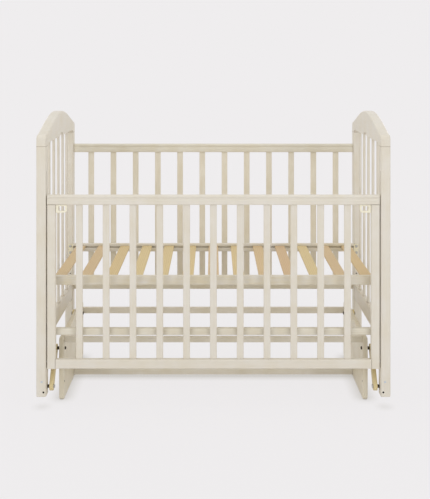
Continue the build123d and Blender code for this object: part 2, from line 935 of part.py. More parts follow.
def upper_bolt():
    """Upper pivot bolt of the front link at the +X end, with its head outside the link."""
    y, z = -upper_pivot_y, upper_pivot_z
    under = link_outer_x + pivot_face_clear
    head = rod_x(under, under + bolt_head, y, z, bolt_head_r)
    head = fillet(head.edges().sort_by(Axis.X)[-1], bolt_head_round)
    body = head + rod_x(base_inner_x - cap_nut_bore, under, y, z, pivot_r)
    return body - head_socket(under + bolt_head, 1, y, z)


def cap_nut():
    """Cap nut of the upper pivot bolt on the inner face of the side board."""
    y, z = -upper_pivot_y, upper_pivot_z
    body = rod_x(base_inner_x - cap_nut_height, base_inner_x, y, z, cap_nut_r)
    body = fillet(body.edges().sort_by(Axis.X)[0], cap_nut_round)
    return body - rod_x(base_inner_x - cap_nut_bore, base_inner_x + overrun, y, z, pivot_r)


def upper_ring():
    """Spacer between the side board and the front link of the +X end."""
    return ring(base_outer_x, link_inner_x - pivot_face_clear, -upper_pivot_y, upper_pivot_z)


def lower_bolt():
    """Lower pivot bolt of the front link at the +X end, in the post's insert."""
    y, z = -lower_pivot_y, lower_pivot_z
    under = link_inner_x - pivot_face_clear
    head = rod_x(under - bolt_head, under, y, z, bolt_head_r)
    head = fillet(head.edges().sort_by(Axis.X)[0], bolt_head_round)
    body = head + rod_x(under, inner_x + insert_bore, y, z, pivot_r)
    return body - head_socket(under - bolt_head, -1, y, z)


def lower_ring():
    """Spacer between the front link and the post of the +X end."""
    return ring(link_outer_x + pivot_face_clear, inner_x, -lower_pivot_y, lower_pivot_z)


def insert():
    """Threaded insert in the post for the lower pivot bolt."""
    y, z = -lower_pivot_y, lower_pivot_z
    body = rod_x(inner_x, inner_x + insert_length, y, z, insert_r)
    return body - rod_x(inner_x - overrun, inner_x + insert_bore, y, z, pivot_r)


def post_plug():
    """Plug in the front face of the front post of the +X end."""
    face = -half_width
    return rod_y(half_length - plug_x_inset, face, face + plug_depth, plug_z, plug_r)


# The nodes


def write_ends():
    """Posts, crowns, cross boards and end bars."""
    save_ends("front_post", front_post())
    save_ends("rear_post", rear_post())
    save_ends("crown", crown())
    save_ends("cross_board", cross_board())
    save("end_bars_right", *end_bars())
    save("end_bars_left", *[mirror_x(bar) for bar in end_bars()])
    save("crown_dowels", *both_ends(dowel_pair()))
    save("post_plugs", post_plug(), mirror_x(post_plug()))


def write_fixed_side():
    """Rear side, stretcher and the bolts that hold them."""
    bolts, nuts = joint_hardware()
    save("rear_top_rail", rear_top_rail())
    save("rear_low_rail", rear_low_rail())
    save("rear_bars", *rear_bars())
    save("front_stretcher", front_stretcher())
    save("joint_bolts", *bolts)
    save("barrel_nuts", *nuts)


def write_deck():
    """Mattress base with its brackets and screws."""
    save("deck_front_board", deck_board(-1))
    save("deck_rear_board", deck_board(1))
    save("deck_slats", *slats())
    save("deck_brackets", *both_ends([bracket(-1), bracket(1)]))
    save("bracket_screws", *both_ends(bracket_screws(-1) + bracket_screws(1)))
    save("board_screws", *both_ends([board_screw(-1), board_screw(1)]))


def write_drop_side():
    """Lowering side and its catches."""
    save("drop_top_rail", drop_top_rail())
    save("drop_low_rail", drop_low_rail())
    save_ends("drop_stile", drop_stile())
    save("drop_bars", *drop_bars())
    save("guide_pins", *both_ends([guide_pin()]))
    save_ends("catch_pull", catch_pull())
    save_ends("catch_bolt", catch_bolt())
    save_ends("catch_spring", catch_spring())


def write_base():
    """Pendulum base."""
    save_ends("base_board", base_board())
    save("base_front_beam", base_beam(front_beam_y, front_beam_z, front_beam_height))
    save("base_rear_beam", base_beam(rear_beam_y, rear_beam_z, rear_beam_height))
    save("base_floor_beam", floor_beam())
    save("base_screws", *both_ends(base_screws()))


def write_pivots():
    """Links, bushes and pivot bolts."""
    front = link()
    save_ends("front_link", front)
    save_ends("rear_link", mirror_y(front))
    upper = bush(-upper_pivot_y, upper_pivot_z)
    lower = bush(-lower_pivot_y, lower_pivot_z)
    save("front_link_bushes", *both_ends([upper, lower]))
    save("rear_link_bushes", *both_ends([mirror_y(upper)]))
    save("upper_pivot_bolts", *four(upper_bolt()))
    save("upper_pivot_nuts", *four(cap_nut()))
    save("upper_pivot_rings", *four(upper_ring()))
    save("lower_pivot_bolts", *four(lower_bolt()))
    save("lower_pivot_rings", *four(lower_ring()))
    save("lower_pivot_inserts", *four(insert()))


write_ends()
write_fixed_side()
write_deck()
write_drop_side()
write_base()
write_pivots()
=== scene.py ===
"""Looks of the pendulum crib: finishes, fastenings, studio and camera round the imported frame."""

import json
import logging
import math
from collections.abc import Callable, Iterable
from dataclasses import dataclass
from enum import Enum

import bmesh
import bpy
from mathutils import Matrix, Vector


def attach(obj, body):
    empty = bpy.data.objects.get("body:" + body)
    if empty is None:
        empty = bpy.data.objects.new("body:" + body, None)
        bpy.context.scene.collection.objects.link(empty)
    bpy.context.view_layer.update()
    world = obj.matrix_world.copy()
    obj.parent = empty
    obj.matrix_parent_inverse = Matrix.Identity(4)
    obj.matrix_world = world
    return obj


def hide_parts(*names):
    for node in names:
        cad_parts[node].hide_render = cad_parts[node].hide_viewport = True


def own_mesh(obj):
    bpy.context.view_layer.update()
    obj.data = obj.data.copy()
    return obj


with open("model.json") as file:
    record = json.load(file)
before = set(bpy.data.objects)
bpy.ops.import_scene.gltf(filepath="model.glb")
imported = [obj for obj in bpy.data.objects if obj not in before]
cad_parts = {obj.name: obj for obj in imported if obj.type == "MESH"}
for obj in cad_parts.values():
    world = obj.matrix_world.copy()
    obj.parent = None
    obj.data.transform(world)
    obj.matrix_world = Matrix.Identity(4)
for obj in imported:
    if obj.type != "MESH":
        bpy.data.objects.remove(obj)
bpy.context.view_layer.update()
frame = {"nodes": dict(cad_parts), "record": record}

log = logging.getLogger("pendulum_crib")

Point = tuple[float, float, float]
Box = tuple[Vector, Vector]


class Axis(Enum):
    """Direction of a piece's wood grain or of a screw, as the number of its coordinate."""

    LENGTH = 0
    WIDTH = 1
    UPRIGHT = 2


class Drive(Enum):
    """Recess in a screw's head."""

    CROSS = "cross"
    HEX = "hex"


class Head(Enum):
    """Shape of a screw's head."""

    PAN = "pan"
    FLAT = "flat"
    BARREL = "barrel"


# Small tools


def linear(code: str) -> tuple[float, float, float, float]:
    """Turn an sRGB hex colour into the linear colour that the shaders take.

    Args:
        code: Colour such as "#DDD6C4".

    Returns:
        Red, green, blue and an alpha of 1.
    """
    channels = [int(code[i : i + 2], 16) / 255 for i in (1, 3, 5)]
    red, green, blue = (
        c / 12.92 if c <= 0.04045 else ((c + 0.055) / 1.055) ** 2.4 for c in channels
    )
    return red, green, blue, 1.0


def add_node(
    tree: bpy.types.NodeTree,
    kind: str,
    settings: dict[str, object] | None = None,
    inputs: dict[str | int, object] | None = None,
) -> bpy.types.Node:
    """Add one shader node with its settings and its links.

    Args:
        tree: Node tree that gets the node.
        kind: Node type, such as "ShaderNodeBump".
        settings: Properties of the node itself.
        inputs: A constant or another node's output for each input, by name or number.

    Returns:
        The new node.
    """
    node = tree.nodes.new(kind)
    for name, value in (settings or {}).items():
        setattr(node, name, value)
    for key, value in (inputs or {}).items():
        if isinstance(value, bpy.types.NodeSocket):
            tree.links.new(value, node.inputs[key])
        else:
            node.inputs[key].default_value = value
    return node


def deselect() -> None:
    """Leave no object selected, so that the next operator acts on its own piece only."""
    if bpy.context.mode != "OBJECT":
        bpy.ops.object.mode_set(mode="OBJECT")
    bpy.ops.object.select_all(action="DESELECT")


def make_active(piece: bpy.types.Object) -> None:
    """Select one piece alone and make it the active one.

    Args:
        piece: Piece that the next operator acts on.
    """
    deselect()
    piece.select_set(True)
    bpy.context.view_layer.objects.active = piece


def pick_faces(piece: bpy.types.Object, wanted: Callable[[bmesh.types.BMFace], bool]) -> None:
    """Select the faces of the piece in edit mode that pass a test.

    Args:
        piece: Piece that is in edit mode.
        wanted: Test of one face.
    """
    bpy.ops.mesh.select_mode(type="FACE")
    mesh = bmesh.from_edit_mesh(piece.data)
    for face in mesh.faces:
        face.select_set(wanted(face))
    mesh.select_flush_mode()
    bmesh.update_edit_mesh(piece.data)


def pick_edges(piece: bpy.types.Object, wanted: Callable[[bmesh.types.BMEdge], bool]) -> None:
    """Select the edges of the piece in edit mode that pass a test.

    Args:
        piece: Piece that is in edit mode.
        wanted: Test of one edge.
    """
    bpy.ops.mesh.select_mode(type="EDGE")
    mesh = bmesh.from_edit_mesh(piece.data)
    for edge in mesh.edges:
        edge.select_set(wanted(edge))
    bmesh.update_edit_mesh(piece.data)


def cut_away(piece: bpy.types.Object, cutter: bpy.types.Object) -> None:
    """Cut a cutter's shape out of a piece and remove the cutter.

    Args:
        piece: Piece to cut.
        cutter: Closed shape that is taken away from it.
    """
    make_active(piece)
    cut = piece.modifiers.new("cut", "BOOLEAN")
    cut.operation = "DIFFERENCE"
    cut.solver = "EXACT"
    cut.object = cutter
    bpy.ops.object.modifier_apply(modifier=cut.name)
    bpy.data.objects.remove(cutter)


def solid_boxes(node: str) -> list[Box]:
    """Find where each separate solid of a CAD node is.

    Args:
        node: Name of the CAD node.

    Returns:
        Lowest and highest corner of each solid, in metres.
    """
    mesh = bmesh.new()
    mesh.from_mesh(frame["nodes"][node].data)
    bmesh.ops.remove_doubles(mesh, verts=mesh.verts, dist=1e-6)
    boxes: list[Box] = []
    seen: set[bmesh.types.BMVert] = set()
    for start in mesh.verts:
        if start in seen:
            continue
        seen.add(start)
        island, waiting = [], [start]
        while waiting:
            vertex = waiting.pop()
            island.append(vertex.co.copy())
            for edge in vertex.link_edges:
                other = edge.other_vert(vertex)
                if other not in seen:
                    seen.add(other)
                    waiting.append(other)
        low = Vector([min(point[i] for point in island) for i in range(3)])
        high = Vector([max(point[i] for point in island) for i in range(3)])
        boxes.append((low, high))
    mesh.free()
    return boxes


def join(name: str, pieces: list[bpy.types.Object]) -> bpy.types.Object:
    """Join several pieces into one.

    Args:
        name: Name of the joined piece.
        pieces: Pieces that go into it.

    Returns:
        The joined piece, with its object at the origin.
    """
    deselect()
    for piece in pieces:
        piece.select_set(True)
    bpy.context.view_layer.objects.active = pieces[0]
    if len(pieces) > 1:
        bpy.ops.object.join()
    whole = pieces[0]
    whole.name = whole.data.name = name
    return whole


def coat(material: bpy.types.Material, nodes: Iterable[str]) -> None:
    """Give a material to CAD nodes through their material slots.

    Args:
        material: The finish.
        nodes: Names of the CAD nodes.
    """
    for name in nodes:
        for slot in frame["nodes"][name].material_slots:
            slot.material = material
        log.info("dressed %s in %s", name, material.name)


# Finishes


@dataclass(frozen=True)
class Bore:
    """A drilled hole whose inside is painted near black as shade. It stands for its mirror images too.

    Attributes:
        mouth: Centre of the hole's mouth, with positive X and Y.
        outward: Direction out of the hole, for that mirror image.
        radius: Radius of the hole.
        depth: Depth of the hole.
    """

    mouth: Point
    outward: Point
    radius: float
    depth: float


@dataclass(frozen=True)
class Seam:
    """A hairline joint between two painted pieces that lie flush.

    Attributes:
        axis: Coordinate that is the same all along the joint.
        place: Its value there.
        half_width: Half the width of the line that shows.
    """

    axis: Axis
    place: float
    half_width: float = 0.0006


@dataclass(frozen=True)
class PaintedWood:
    """Satin water-based enamel sprayed on sanded birch: an even ivory with a ghost of the grain.

    Attributes:
        name: Name of the material.
        grain: Direction of the grain.
        colour: Ivory of the open faces.
        thin_colour: Ivory where the coat is thin and the wood shows through a little.
        joint_and_shade_colour: Dull brown of the hairline joints, and of the painted shade where
            pieces meet.
        bore_shade_colour: Near-black painted shade inside drilled holes.
        bores: Drilled holes in these pieces.
        seams: Flush joints of these pieces.
        grain_length: Length of a streak of the grain.
        grain_width: Distance between streaks, drawn as coarse as it needs to show.
        roughness: Satin sheen.
    """

    name: str
    grain: Axis
    colour: str = "#DED8CC"
    thin_colour: str = "#DAD2C1"
    joint_and_shade_colour: str = "#8C7C60"
    bore_shade_colour: str = "#1B140D"
    bores: tuple[Bore, ...] = ()
    seams: tuple[Seam, ...] = ()
    grain_length: float = 0.090
    grain_width: float = 0.004
    roughness: float = 0.46

    def build(self) -> bpy.types.Material:
        """Build the material.

        Returns:
            The finished material.
        """
        material = bpy.data.materials.new(self.name)
        material.use_nodes = True
        tree = material.node_tree
        shader = tree.nodes["Principled BSDF"]
        place = add_node(tree, "ShaderNodeTexCoord").outputs["Object"]
        colour = self.tone(tree, place)
        # Painted shade where two pieces meet.
        colour = self.painted_crevice_shade(tree, colour)
        for seam in self.seams:
            colour = self.seam_line(tree, place, seam, colour)
        # Painted shade inside the drilled holes.
        for bore in self.bores:
            colour = self.painted_bore_shade(tree, place, bore, colour)
        tree.links.new(colour, shader.inputs["Base Color"])
        tree.links.new(self.surface(tree, place), shader.inputs["Normal"])
        shader.inputs["Roughness"].default_value = self.roughness
        shader.inputs["IOR"].default_value = 1.48
        return material

    def stretched(self, tree: bpy.types.NodeTree, place: bpy.types.NodeSocket) -> bpy.types.NodeSocket:
        """Give coordinates that run slowly along the grain and fast across it.

        Args:
            tree: Node tree of the material.
            place: Object coordinates.

        Returns:
            Coordinates in streaks.
        """
        scale = [1 / self.grain_width] * 3
        scale[self.grain.value] = 1 / self.grain_length
        mapping = add_node(tree, "ShaderNodeMapping", {}, {"Vector": place, "Scale": scale})
        return mapping.outputs["Vector"]

    def tone(self, tree: bpy.types.NodeTree, place: bpy.types.NodeSocket) -> bpy.types.NodeSocket:
        """Mix the ivory with its thinner coat by faint streaks and wide clouds.

        Args:
            tree: Node tree of the material.
            place: Object coordinates.

        Returns:
            Colour of the open faces.
        """
        streaks = add_node(
            tree,
            "ShaderNodeTexNoise",
            {},
            {"Vector": self.stretched(tree, place), "Scale": 1.0, "Detail": 3.0, "Distortion": 0.4},
        )
        # Clouds about 70 mm wide, from the spray passes.
        clouds = add_node(
            tree, "ShaderNodeTexNoise", {}, {"Vector": place, "Scale": 1 / 0.070, "Detail": 2.0}
        )
        both = add_node(
            tree,
            "ShaderNodeMath",
            {"operation": "MULTIPLY_ADD"},
            {0: streaks.outputs["Fac"], 1: 0.6, 2: clouds.outputs["Fac"]},
        )
        amount = add_node(
            tree,
            "ShaderNodeMapRange",
            {},
            {"Value": both.outputs["Value"], "From Min": 0.62, "From Max": 1.05},
        )
        mix = add_node(
            tree,
            "ShaderNodeMix",
            {"data_type": "RGBA"},
            {0: amount.outputs["Result"], 6: linear(self.colour), 7: linear(self.thin_colour)},
        )
        return mix.outputs[2]

    def painted_crevice_shade(self, tree: bpy.types.NodeTree, colour: bpy.types.NodeSocket) -> bpy.types.NodeSocket:
        """Paint shade over the last few millimetres where two pieces meet, darker the more the surface
        is hemmed in.

        Args:
            tree: Node tree of the material.
            colour: Colour so far.

        Returns:
            Colour with the painted shade.
        """
        # Painted shade: ambient occlusion within 5 mm mixes the colour towards dull brown.
        hidden = add_node(
            tree, "ShaderNodeAmbientOcclusion", {"samples": 6}, {"Distance": 0.005}
        )
        amount = add_node(
            tree,
            "ShaderNodeMapRange",
            {"clamp": True},
            {
                "Value": hidden.outputs["AO"],
                "From Min": 0.25,
                "From Max": 0.80,
                "To Min": 0.75,
                "To Max": 0.0,
            },
        )
        mix = add_node(
            tree,
            "ShaderNodeMix",
            {"data_type": "RGBA"},
            {0: amount.outputs["Result"], 6: colour, 7: linear(self.joint_and_shade_colour)},
        )
        return mix.outputs[2]

    def seam_line(
        self,
        tree: bpy.types.NodeTree,
        place: bpy.types.NodeSocket,
        seam: Seam,
        colour: bpy.types.NodeSocket,
    ) -> bpy.types.NodeSocket:
        """Draw the hairline of one flush joint.

        Args:
            tree: Node tree of the material.
            place: Object coordinates.
            seam: The joint.
            colour: Colour so far.

        Returns:
            Colour with the hairline.
        """
        split = add_node(tree, "ShaderNodeSeparateXYZ", {}, {"Vector": place})
        near = add_node(
            tree,
            "ShaderNodeMath",
            {"operation": "COMPARE"},
            {0: split.outputs[seam.axis.value], 1: seam.place, 2: seam.half_width},
        )
        mix = add_node(
            tree,
            "ShaderNodeMix",
            {"data_type": "RGBA"},
            {0: near.outputs["Value"], 6: colour, 7: linear(self.joint_and_shade_colour)},
        )
        return mix.outputs[2]

    def painted_bore_shade(
        self,
        tree: bpy.types.NodeTree,
        place: bpy.types.NodeSocket,
        bore: Bore,
        colour: bpy.types.NodeSocket,
    ) -> bpy.types.NodeSocket:
        """Paint near-black shade inside one drilled hole and inside its mirror images.

        Args:
            tree: Node tree of the material.
            place: Object coordinates.
            bore: The hole.
            colour: Colour so far.

        Returns:
            Colour with the painted shade in the hole.
        """
        corner = add_node(tree, "ShaderNodeVectorMath", {"operation": "ABSOLUTE"}, {0: place})
        offset = add_node(
            tree,
            "ShaderNodeVectorMath",
            {"operation": "SUBTRACT"},
            {0: corner.outputs["Vector"], 1: bore.mouth},
        )
        inwards = add_node(
            tree,
            "ShaderNodeVectorMath",
            {"operation": "DOT_PRODUCT"},
            {0: offset.outputs["Vector"], 1: [-c for c in bore.outward]},
        )
        sideways = add_node(
            tree,
            "ShaderNodeVectorMath",
            {"operation": "CROSS_PRODUCT"},
            {0: offset.outputs["Vector"], 1: bore.outward},
        )
        distance = add_node(
            tree, "ShaderNodeVectorMath", {"operation": "LENGTH"}, {0: sideways.outputs["Vector"]}
        )
        middle = bore.depth / 2
        deep = add_node(
            tree,
            "ShaderNodeMath",
            {"operation": "COMPARE"},
            {0: inwards.outputs["Value"], 1: middle + 0.0003, 2: middle},
        )
        narrow = add_node(
            tree,
            "ShaderNodeMath",
            {"operation": "LESS_THAN"},
            {0: distance.outputs["Value"], 1: bore.radius + 0.0003},
        )
        inside = add_node(
            tree,
            "ShaderNodeMath",
            {"operation": "MULTIPLY"},
            {0: deep.outputs["Value"], 1: narrow.outputs["Value"]},
        )
        # Painted shade: near black inside the hole.
        mix = add_node(
            tree,
            "ShaderNodeMix",
            {"data_type": "RGBA"},
            {0: inside.outputs["Value"], 6: colour, 7: linear(self.bore_shade_colour)},
        )
        return mix.outputs[2]

    def surface(self, tree: bpy.types.NodeTree, place: bpy.types.NodeSocket) -> bpy.types.NodeSocket:
        """Raise the faint grain and the fine skin of the sprayed paint.

        Args:
            tree: Node tree of the material.
            place: Object coordinates.

        Returns:
            Normal of the surface.
        """
        grain = add_node(
            tree,
            "ShaderNodeTexNoise",
            {},
            {"Vector": self.stretched(tree, place), "Scale": 2.0, "Detail": 4.0},
        )
        # Skin of dried paint, pores about 1.5 mm apart.
        skin = add_node(
            tree, "ShaderNodeTexNoise", {}, {"Vector": place, "Scale": 1 / 0.0015, "Detail": 1.0}
        )
        raised = add_node(
            tree,
            "ShaderNodeBump",
            {},
            {"Height": grain.outputs["Fac"], "Strength": 0.25, "Distance": 0.0004},
        )
        both = add_node(
            tree,
            "ShaderNodeBump",
            {},
            {
                "Height": skin.outputs["Fac"],
                "Strength": 0.10,
                "Distance": 0.0002,
                "Normal": raised.outputs["Normal"],
            },
        )
        return both.outputs["Normal"]


@dataclass(frozen=True)
class BareBirch:
    """Planed birch laths without finish: warm straw, soft growth bands, each lath its own tone.

    Attributes:
        name: Name of the material.
        pitch: Distance between laths, which gives each its own tone.
        tones: Colours of the laths, from pale to pinkish.
        vein_colour: Colour of the darker late wood.
        band_width: Distance between growth bands.
        streak_length: Length of the fine pores.
        streak_width: Distance between pores, drawn coarser than life to show.
    """

    name: str
    pitch: float
    tones: tuple[str, ...] = ("#DCC897", "#D9C290", "#D7BF97", "#D1B38F", "#DBC393")
    vein_colour: str = "#C2A574"
    band_width: float = 0.007
    streak_length: float = 0.035
    streak_width: float = 0.0012

    def build(self) -> bpy.types.Material:
        """Build the material.

        Returns:
            The finished material.
        """
        material = bpy.data.materials.new(self.name)
        material.use_nodes = True
        tree = material.node_tree
        shader = tree.nodes["Principled BSDF"]
        place = add_node(tree, "ShaderNodeTexCoord").outputs["Object"]
        split = add_node(tree, "ShaderNodeSeparateXYZ", {}, {"Vector": place})
        count = add_node(
            tree,
            "ShaderNodeMath",
            {"operation": "DIVIDE"},
            {0: split.outputs["X"], 1: self.pitch},
        )
        lath = add_node(
            tree, "ShaderNodeMath", {"operation": "ROUND"}, {0: count.outputs["Value"]}
        )
        chance = add_node(
            tree, "ShaderNodeTexWhiteNoise", {"noise_dimensions": "1D"}, {"W": lath.outputs["Value"]}
        )
        ramp = add_node(
            tree, "ShaderNodeValToRGB", {}, {"Fac": chance.outputs["Value"]}
        )
        ramp.color_ramp.interpolation = "LINEAR"
        while len(ramp.color_ramp.elements) < len(self.tones):
            ramp.color_ramp.elements.new(0.5)
        for i, tone in enumerate(self.tones):
            ramp.color_ramp.elements[i].position = i / (len(self.tones) - 1)
            ramp.color_ramp.elements[i].color = linear(tone)
        apart = add_node(
            tree,
            "ShaderNodeVectorMath",
            {"operation": "MULTIPLY_ADD"},
            {0: chance.outputs["Color"], 1: (0.9, 2.3, 0.7), 2: place},
        )
        slow = add_node(
            tree,
            "ShaderNodeMapping",
            {},
            {"Vector": apart.outputs["Vector"], "Scale": (1.0, 0.10, 1.0)},
        )
        # A wave of scale s repeats every 0.314 / s metres.
        bands = add_node(
            tree,
            "ShaderNodeTexWave",
            {"wave_type": "BANDS", "bands_direction": "X", "wave_profile": "SAW"},
            {
                "Vector": slow.outputs["Vector"],
                "Scale": 0.314 / self.band_width,
                "Distortion": 5.0,
                "Detail": 2.0,
                "Detail Scale": 0.8,
            },
        )
        fine = add_node(
            tree,
            "ShaderNodeMapping",
            {},
            {
                "Vector": apart.outputs["Vector"],
                "Scale": (1 / self.streak_width, 1 / self.streak_length, 1 / self.streak_width),
            },
        )
        pores = add_node(
            tree,
            "ShaderNodeTexNoise",
            {},
            {"Vector": fine.outputs["Vector"], "Scale": 1.0, "Detail": 3.0},
        )
        late = add_node(
            tree,
            "ShaderNodeMath",
            {"operation": "MULTIPLY"},
            {0: bands.outputs["Fac"], 1: pores.outputs["Fac"]},
        )
        amount = add_node(
            tree,
            "ShaderNodeMapRange",
            {},
            {"Value": late.outputs["Value"], "From Min": 0.15, "From Max": 0.62, "To Max": 0.55},
        )
        mix = add_node(
            tree,
            "ShaderNodeMix",
            {"data_type": "RGBA"},
            {
                0: amount.outputs["Result"],
                6: ramp.outputs["Color"],
                7: linear(self.vein_colour),
            },
        )
        raised = add_node(
            tree,
            "ShaderNodeBump",
            {},
            {"Height": pores.outputs["Fac"], "Strength": 0.35, "Distance": 0.0004},
        )
        sheen = add_node(
            tree,
            "ShaderNodeMapRange",
            {},
            {"Value": pores.outputs["Fac"], "To Min": 0.56, "To Max": 0.72},
        )
        tree.links.new(mix.outputs[2], shader.inputs["Base Color"])
        tree.links.new(sheen.outputs["Result"], shader.inputs["Roughness"])
        tree.links.new(raised.outputs["Normal"], shader.inputs["Normal"])
        shader.inputs["IOR"].default_value = 1.45
        return material


@dataclass(frozen=True)
class VarnishedBeech:
    """Clear-varnished beech: yellowish, with the short dark flecks of its rays along the grain.

    Attributes:
        name: Name of the material.
        lean: Turn of the grain about X, as the link leans.
        colour: Ground colour.
        shade_colour: Slightly redder bands.
        fleck_colour: Colour of the ray flecks.
        fleck_length: Length of a fleck.
        fleck_width: Distance between flecks across the grain.
    """

    name: str
    lean: float
    colour: str = "#D9C998"
    shade_colour: str = "#CDB987"
    fleck_colour: str = "#A78C5C"
    fleck_length: float = 0.007
    fleck_width: float = 0.0016

    def build(self) -> bpy.types.Material:
        """Build the material.

        Returns:
            The finished material.
        """
        material = bpy.data.materials.new(self.name)
        material.use_nodes = True
        tree = material.node_tree
        shader = tree.nodes["Principled BSDF"]
        place = add_node(tree, "ShaderNodeTexCoord").outputs["Object"]
        along = add_node(
            tree, "ShaderNodeMapping", {}, {"Vector": place, "Rotation": (self.lean, 0.0, 0.0)}
        )
        clouds = add_node(
            tree,
            "ShaderNodeMapping",
            {},
            {"Vector": along.outputs["Vector"], "Scale": (1 / 0.006, 1 / 0.006, 1 / 0.080)},
        )
        bands = add_node(
            tree,
            "ShaderNodeTexNoise",
            {},
            {"Vector": clouds.outputs["Vector"], "Scale": 1.0, "Detail": 2.0},
        )
        ground = add_node(
            tree,
            "ShaderNodeMix",
            {"data_type": "RGBA"},
            {0: bands.outputs["Fac"], 6: linear(self.colour), 7: linear(self.shade_colour)},
        )
        short = add_node(
            tree,
            "ShaderNodeMapping",
            {},
            {
                "Vector": along.outputs["Vector"],
                "Scale": (1 / self.fleck_width, 1 / self.fleck_width, 1 / self.fleck_length),
            },
        )
        rays = add_node(
            tree,
            "ShaderNodeTexNoise",
            {},
            {"Vector": short.outputs["Vector"], "Scale": 1.0, "Detail": 1.0},
        )
        flecks = add_node(
            tree,
            "ShaderNodeMapRange",
            {},
            {"Value": rays.outputs["Fac"], "From Min": 0.60, "From Max": 0.72, "To Max": 0.55},
        )
        mix = add_node(
            tree,
            "ShaderNodeMix",
            {"data_type": "RGBA"},
            {
                0: flecks.outputs["Result"],
                6: ground.outputs[2],
                7: linear(self.fleck_colour),
            },
        )
        raised = add_node(
            tree,
            "ShaderNodeBump",
            {},
            {"Height": rays.outputs["Fac"], "Strength": 0.15, "Distance": 0.0003},
        )
        tree.links.new(mix.outputs[2], shader.inputs["Base Color"])
        tree.links.new(raised.outputs["Normal"], shader.inputs["Normal"])
        shader.inputs["Roughness"].default_value = 0.38
        shader.inputs["Coat Weight"].default_value = 0.35
        shader.inputs["Coat Roughness"].default_value = 0.18
        return material


@dataclass(frozen=True)
class MouldedPlastic:
    """Injection-moulded plastic: even colour, soft highlight, the mould's fine grit.

    Attributes:
        name: Name of the material.
        colour: Colour of the plastic.
        flow_colour: Slightly deeper colour of the flow marks.
        roughness: Sheen of the surface.
        index: Refractive index.
        grit: Size of the mould's grit.
        grit_strength: How much the grit shows.
        depth: Share of light that scatters inside, as in milky plastics.
    """

    name: str
    colour: str
    flow_colour: str
    roughness: float
    index: float
    grit: float = 0.0006
    grit_strength: float = 0.15
    depth: float = 0.0

    def build(self) -> bpy.types.Material:
        """Build the material.

        Returns:
            The finished material.
        """
        material = bpy.data.materials.new(self.name)
        material.use_nodes = True
        tree = material.node_tree
        shader = tree.nodes["Principled BSDF"]
        place = add_node(tree, "ShaderNodeTexCoord").outputs["Object"]
        # Flow marks of the moulding, about 12 mm wide.
        flow = add_node(
            tree,
            "ShaderNodeTexNoise",
            {},
            {"Vector": place, "Scale": 1 / 0.012, "Detail": 1.0, "Distortion": 1.5},
        )
        mix = add_node(
            tree,
            "ShaderNodeMix",
            {"data_type": "RGBA"},
            {0: flow.outputs["Fac"], 6: linear(self.colour), 7: linear(self.flow_colour)},
        )
        sand = add_node(
            tree, "ShaderNodeTexNoise", {}, {"Vector": place, "Scale": 1 / self.grit, "Detail": 1.0}
        )
        raised = add_node(
            tree,
            "ShaderNodeBump",
            {},
            {"Height": sand.outputs["Fac"], "Strength": self.grit_strength, "Distance": 0.0001},
        )
        tree.links.new(mix.outputs[2], shader.inputs["Base Color"])
        tree.links.new(raised.outputs["Normal"], shader.inputs["Normal"])
        shader.inputs["Roughness"].default_value = self.roughness
        shader.inputs["IOR"].default_value = self.index
        shader.inputs["Subsurface Weight"].default_value = self.depth
        shader.inputs["Subsurface Scale"].default_value = 0.002
        return material


@dataclass(frozen=True)
class PowderCoat:
    """Cream polyester powder baked on steel: half-matt with the ripple of orange peel.

    Attributes:
        name: Name of the material.
        colour: Cream of the open faces.
        corner_shade_colour: Duller cream of the painted shade in the corners and round the holes.
        ripple: Width of one ripple of the orange peel.
    """

    name: str
    colour: str = "#E9E0C3"
    corner_shade_colour: str = "#C9BD9A"
    ripple: float = 0.0014

    def build(self) -> bpy.types.Material:
        """Build the material.

        Returns:
            The finished material.
        """
        material = bpy.data.materials.new(self.name)
        material.use_nodes = True
        tree = material.node_tree
        shader = tree.nodes["Principled BSDF"]
        place = add_node(tree, "ShaderNodeTexCoord").outputs["Object"]
        # Painted shade: ambient occlusion within 3 mm darkens the cream in corners and round the
        # holes.
        hidden = add_node(
            tree, "ShaderNodeAmbientOcclusion", {"samples": 6}, {"Distance": 0.003}
        )
        amount = add_node(
            tree,
            "ShaderNodeMapRange",
            {},
            {
                "Value": hidden.outputs["AO"],
                "From Min": 0.35,
                "From Max": 0.85,
                "To Min": 0.9,
                "To Max": 0.0,
            },
        )
        mix = add_node(
            tree,
            "ShaderNodeMix",
            {"data_type": "RGBA"},
            {0: amount.outputs["Result"], 6: linear(self.colour), 7: linear(self.corner_shade_colour)},
        )
        peel = add_node(
            tree, "ShaderNodeTexNoise", {}, {"Vector": place, "Scale": 1 / self.ripple, "Detail": 0.5}
        )
        raised = add_node(
            tree,
            "ShaderNodeBump",
            {},
            {"Height": peel.outputs["Fac"], "Strength": 0.3, "Distance": 0.0002},
        )
        tree.links.new(mix.outputs[2], shader.inputs["Base Color"])
        tree.links.new(raised.outputs["Normal"], shader.inputs["Normal"])
        shader.inputs["Roughness"].default_value = 0.42
        return material


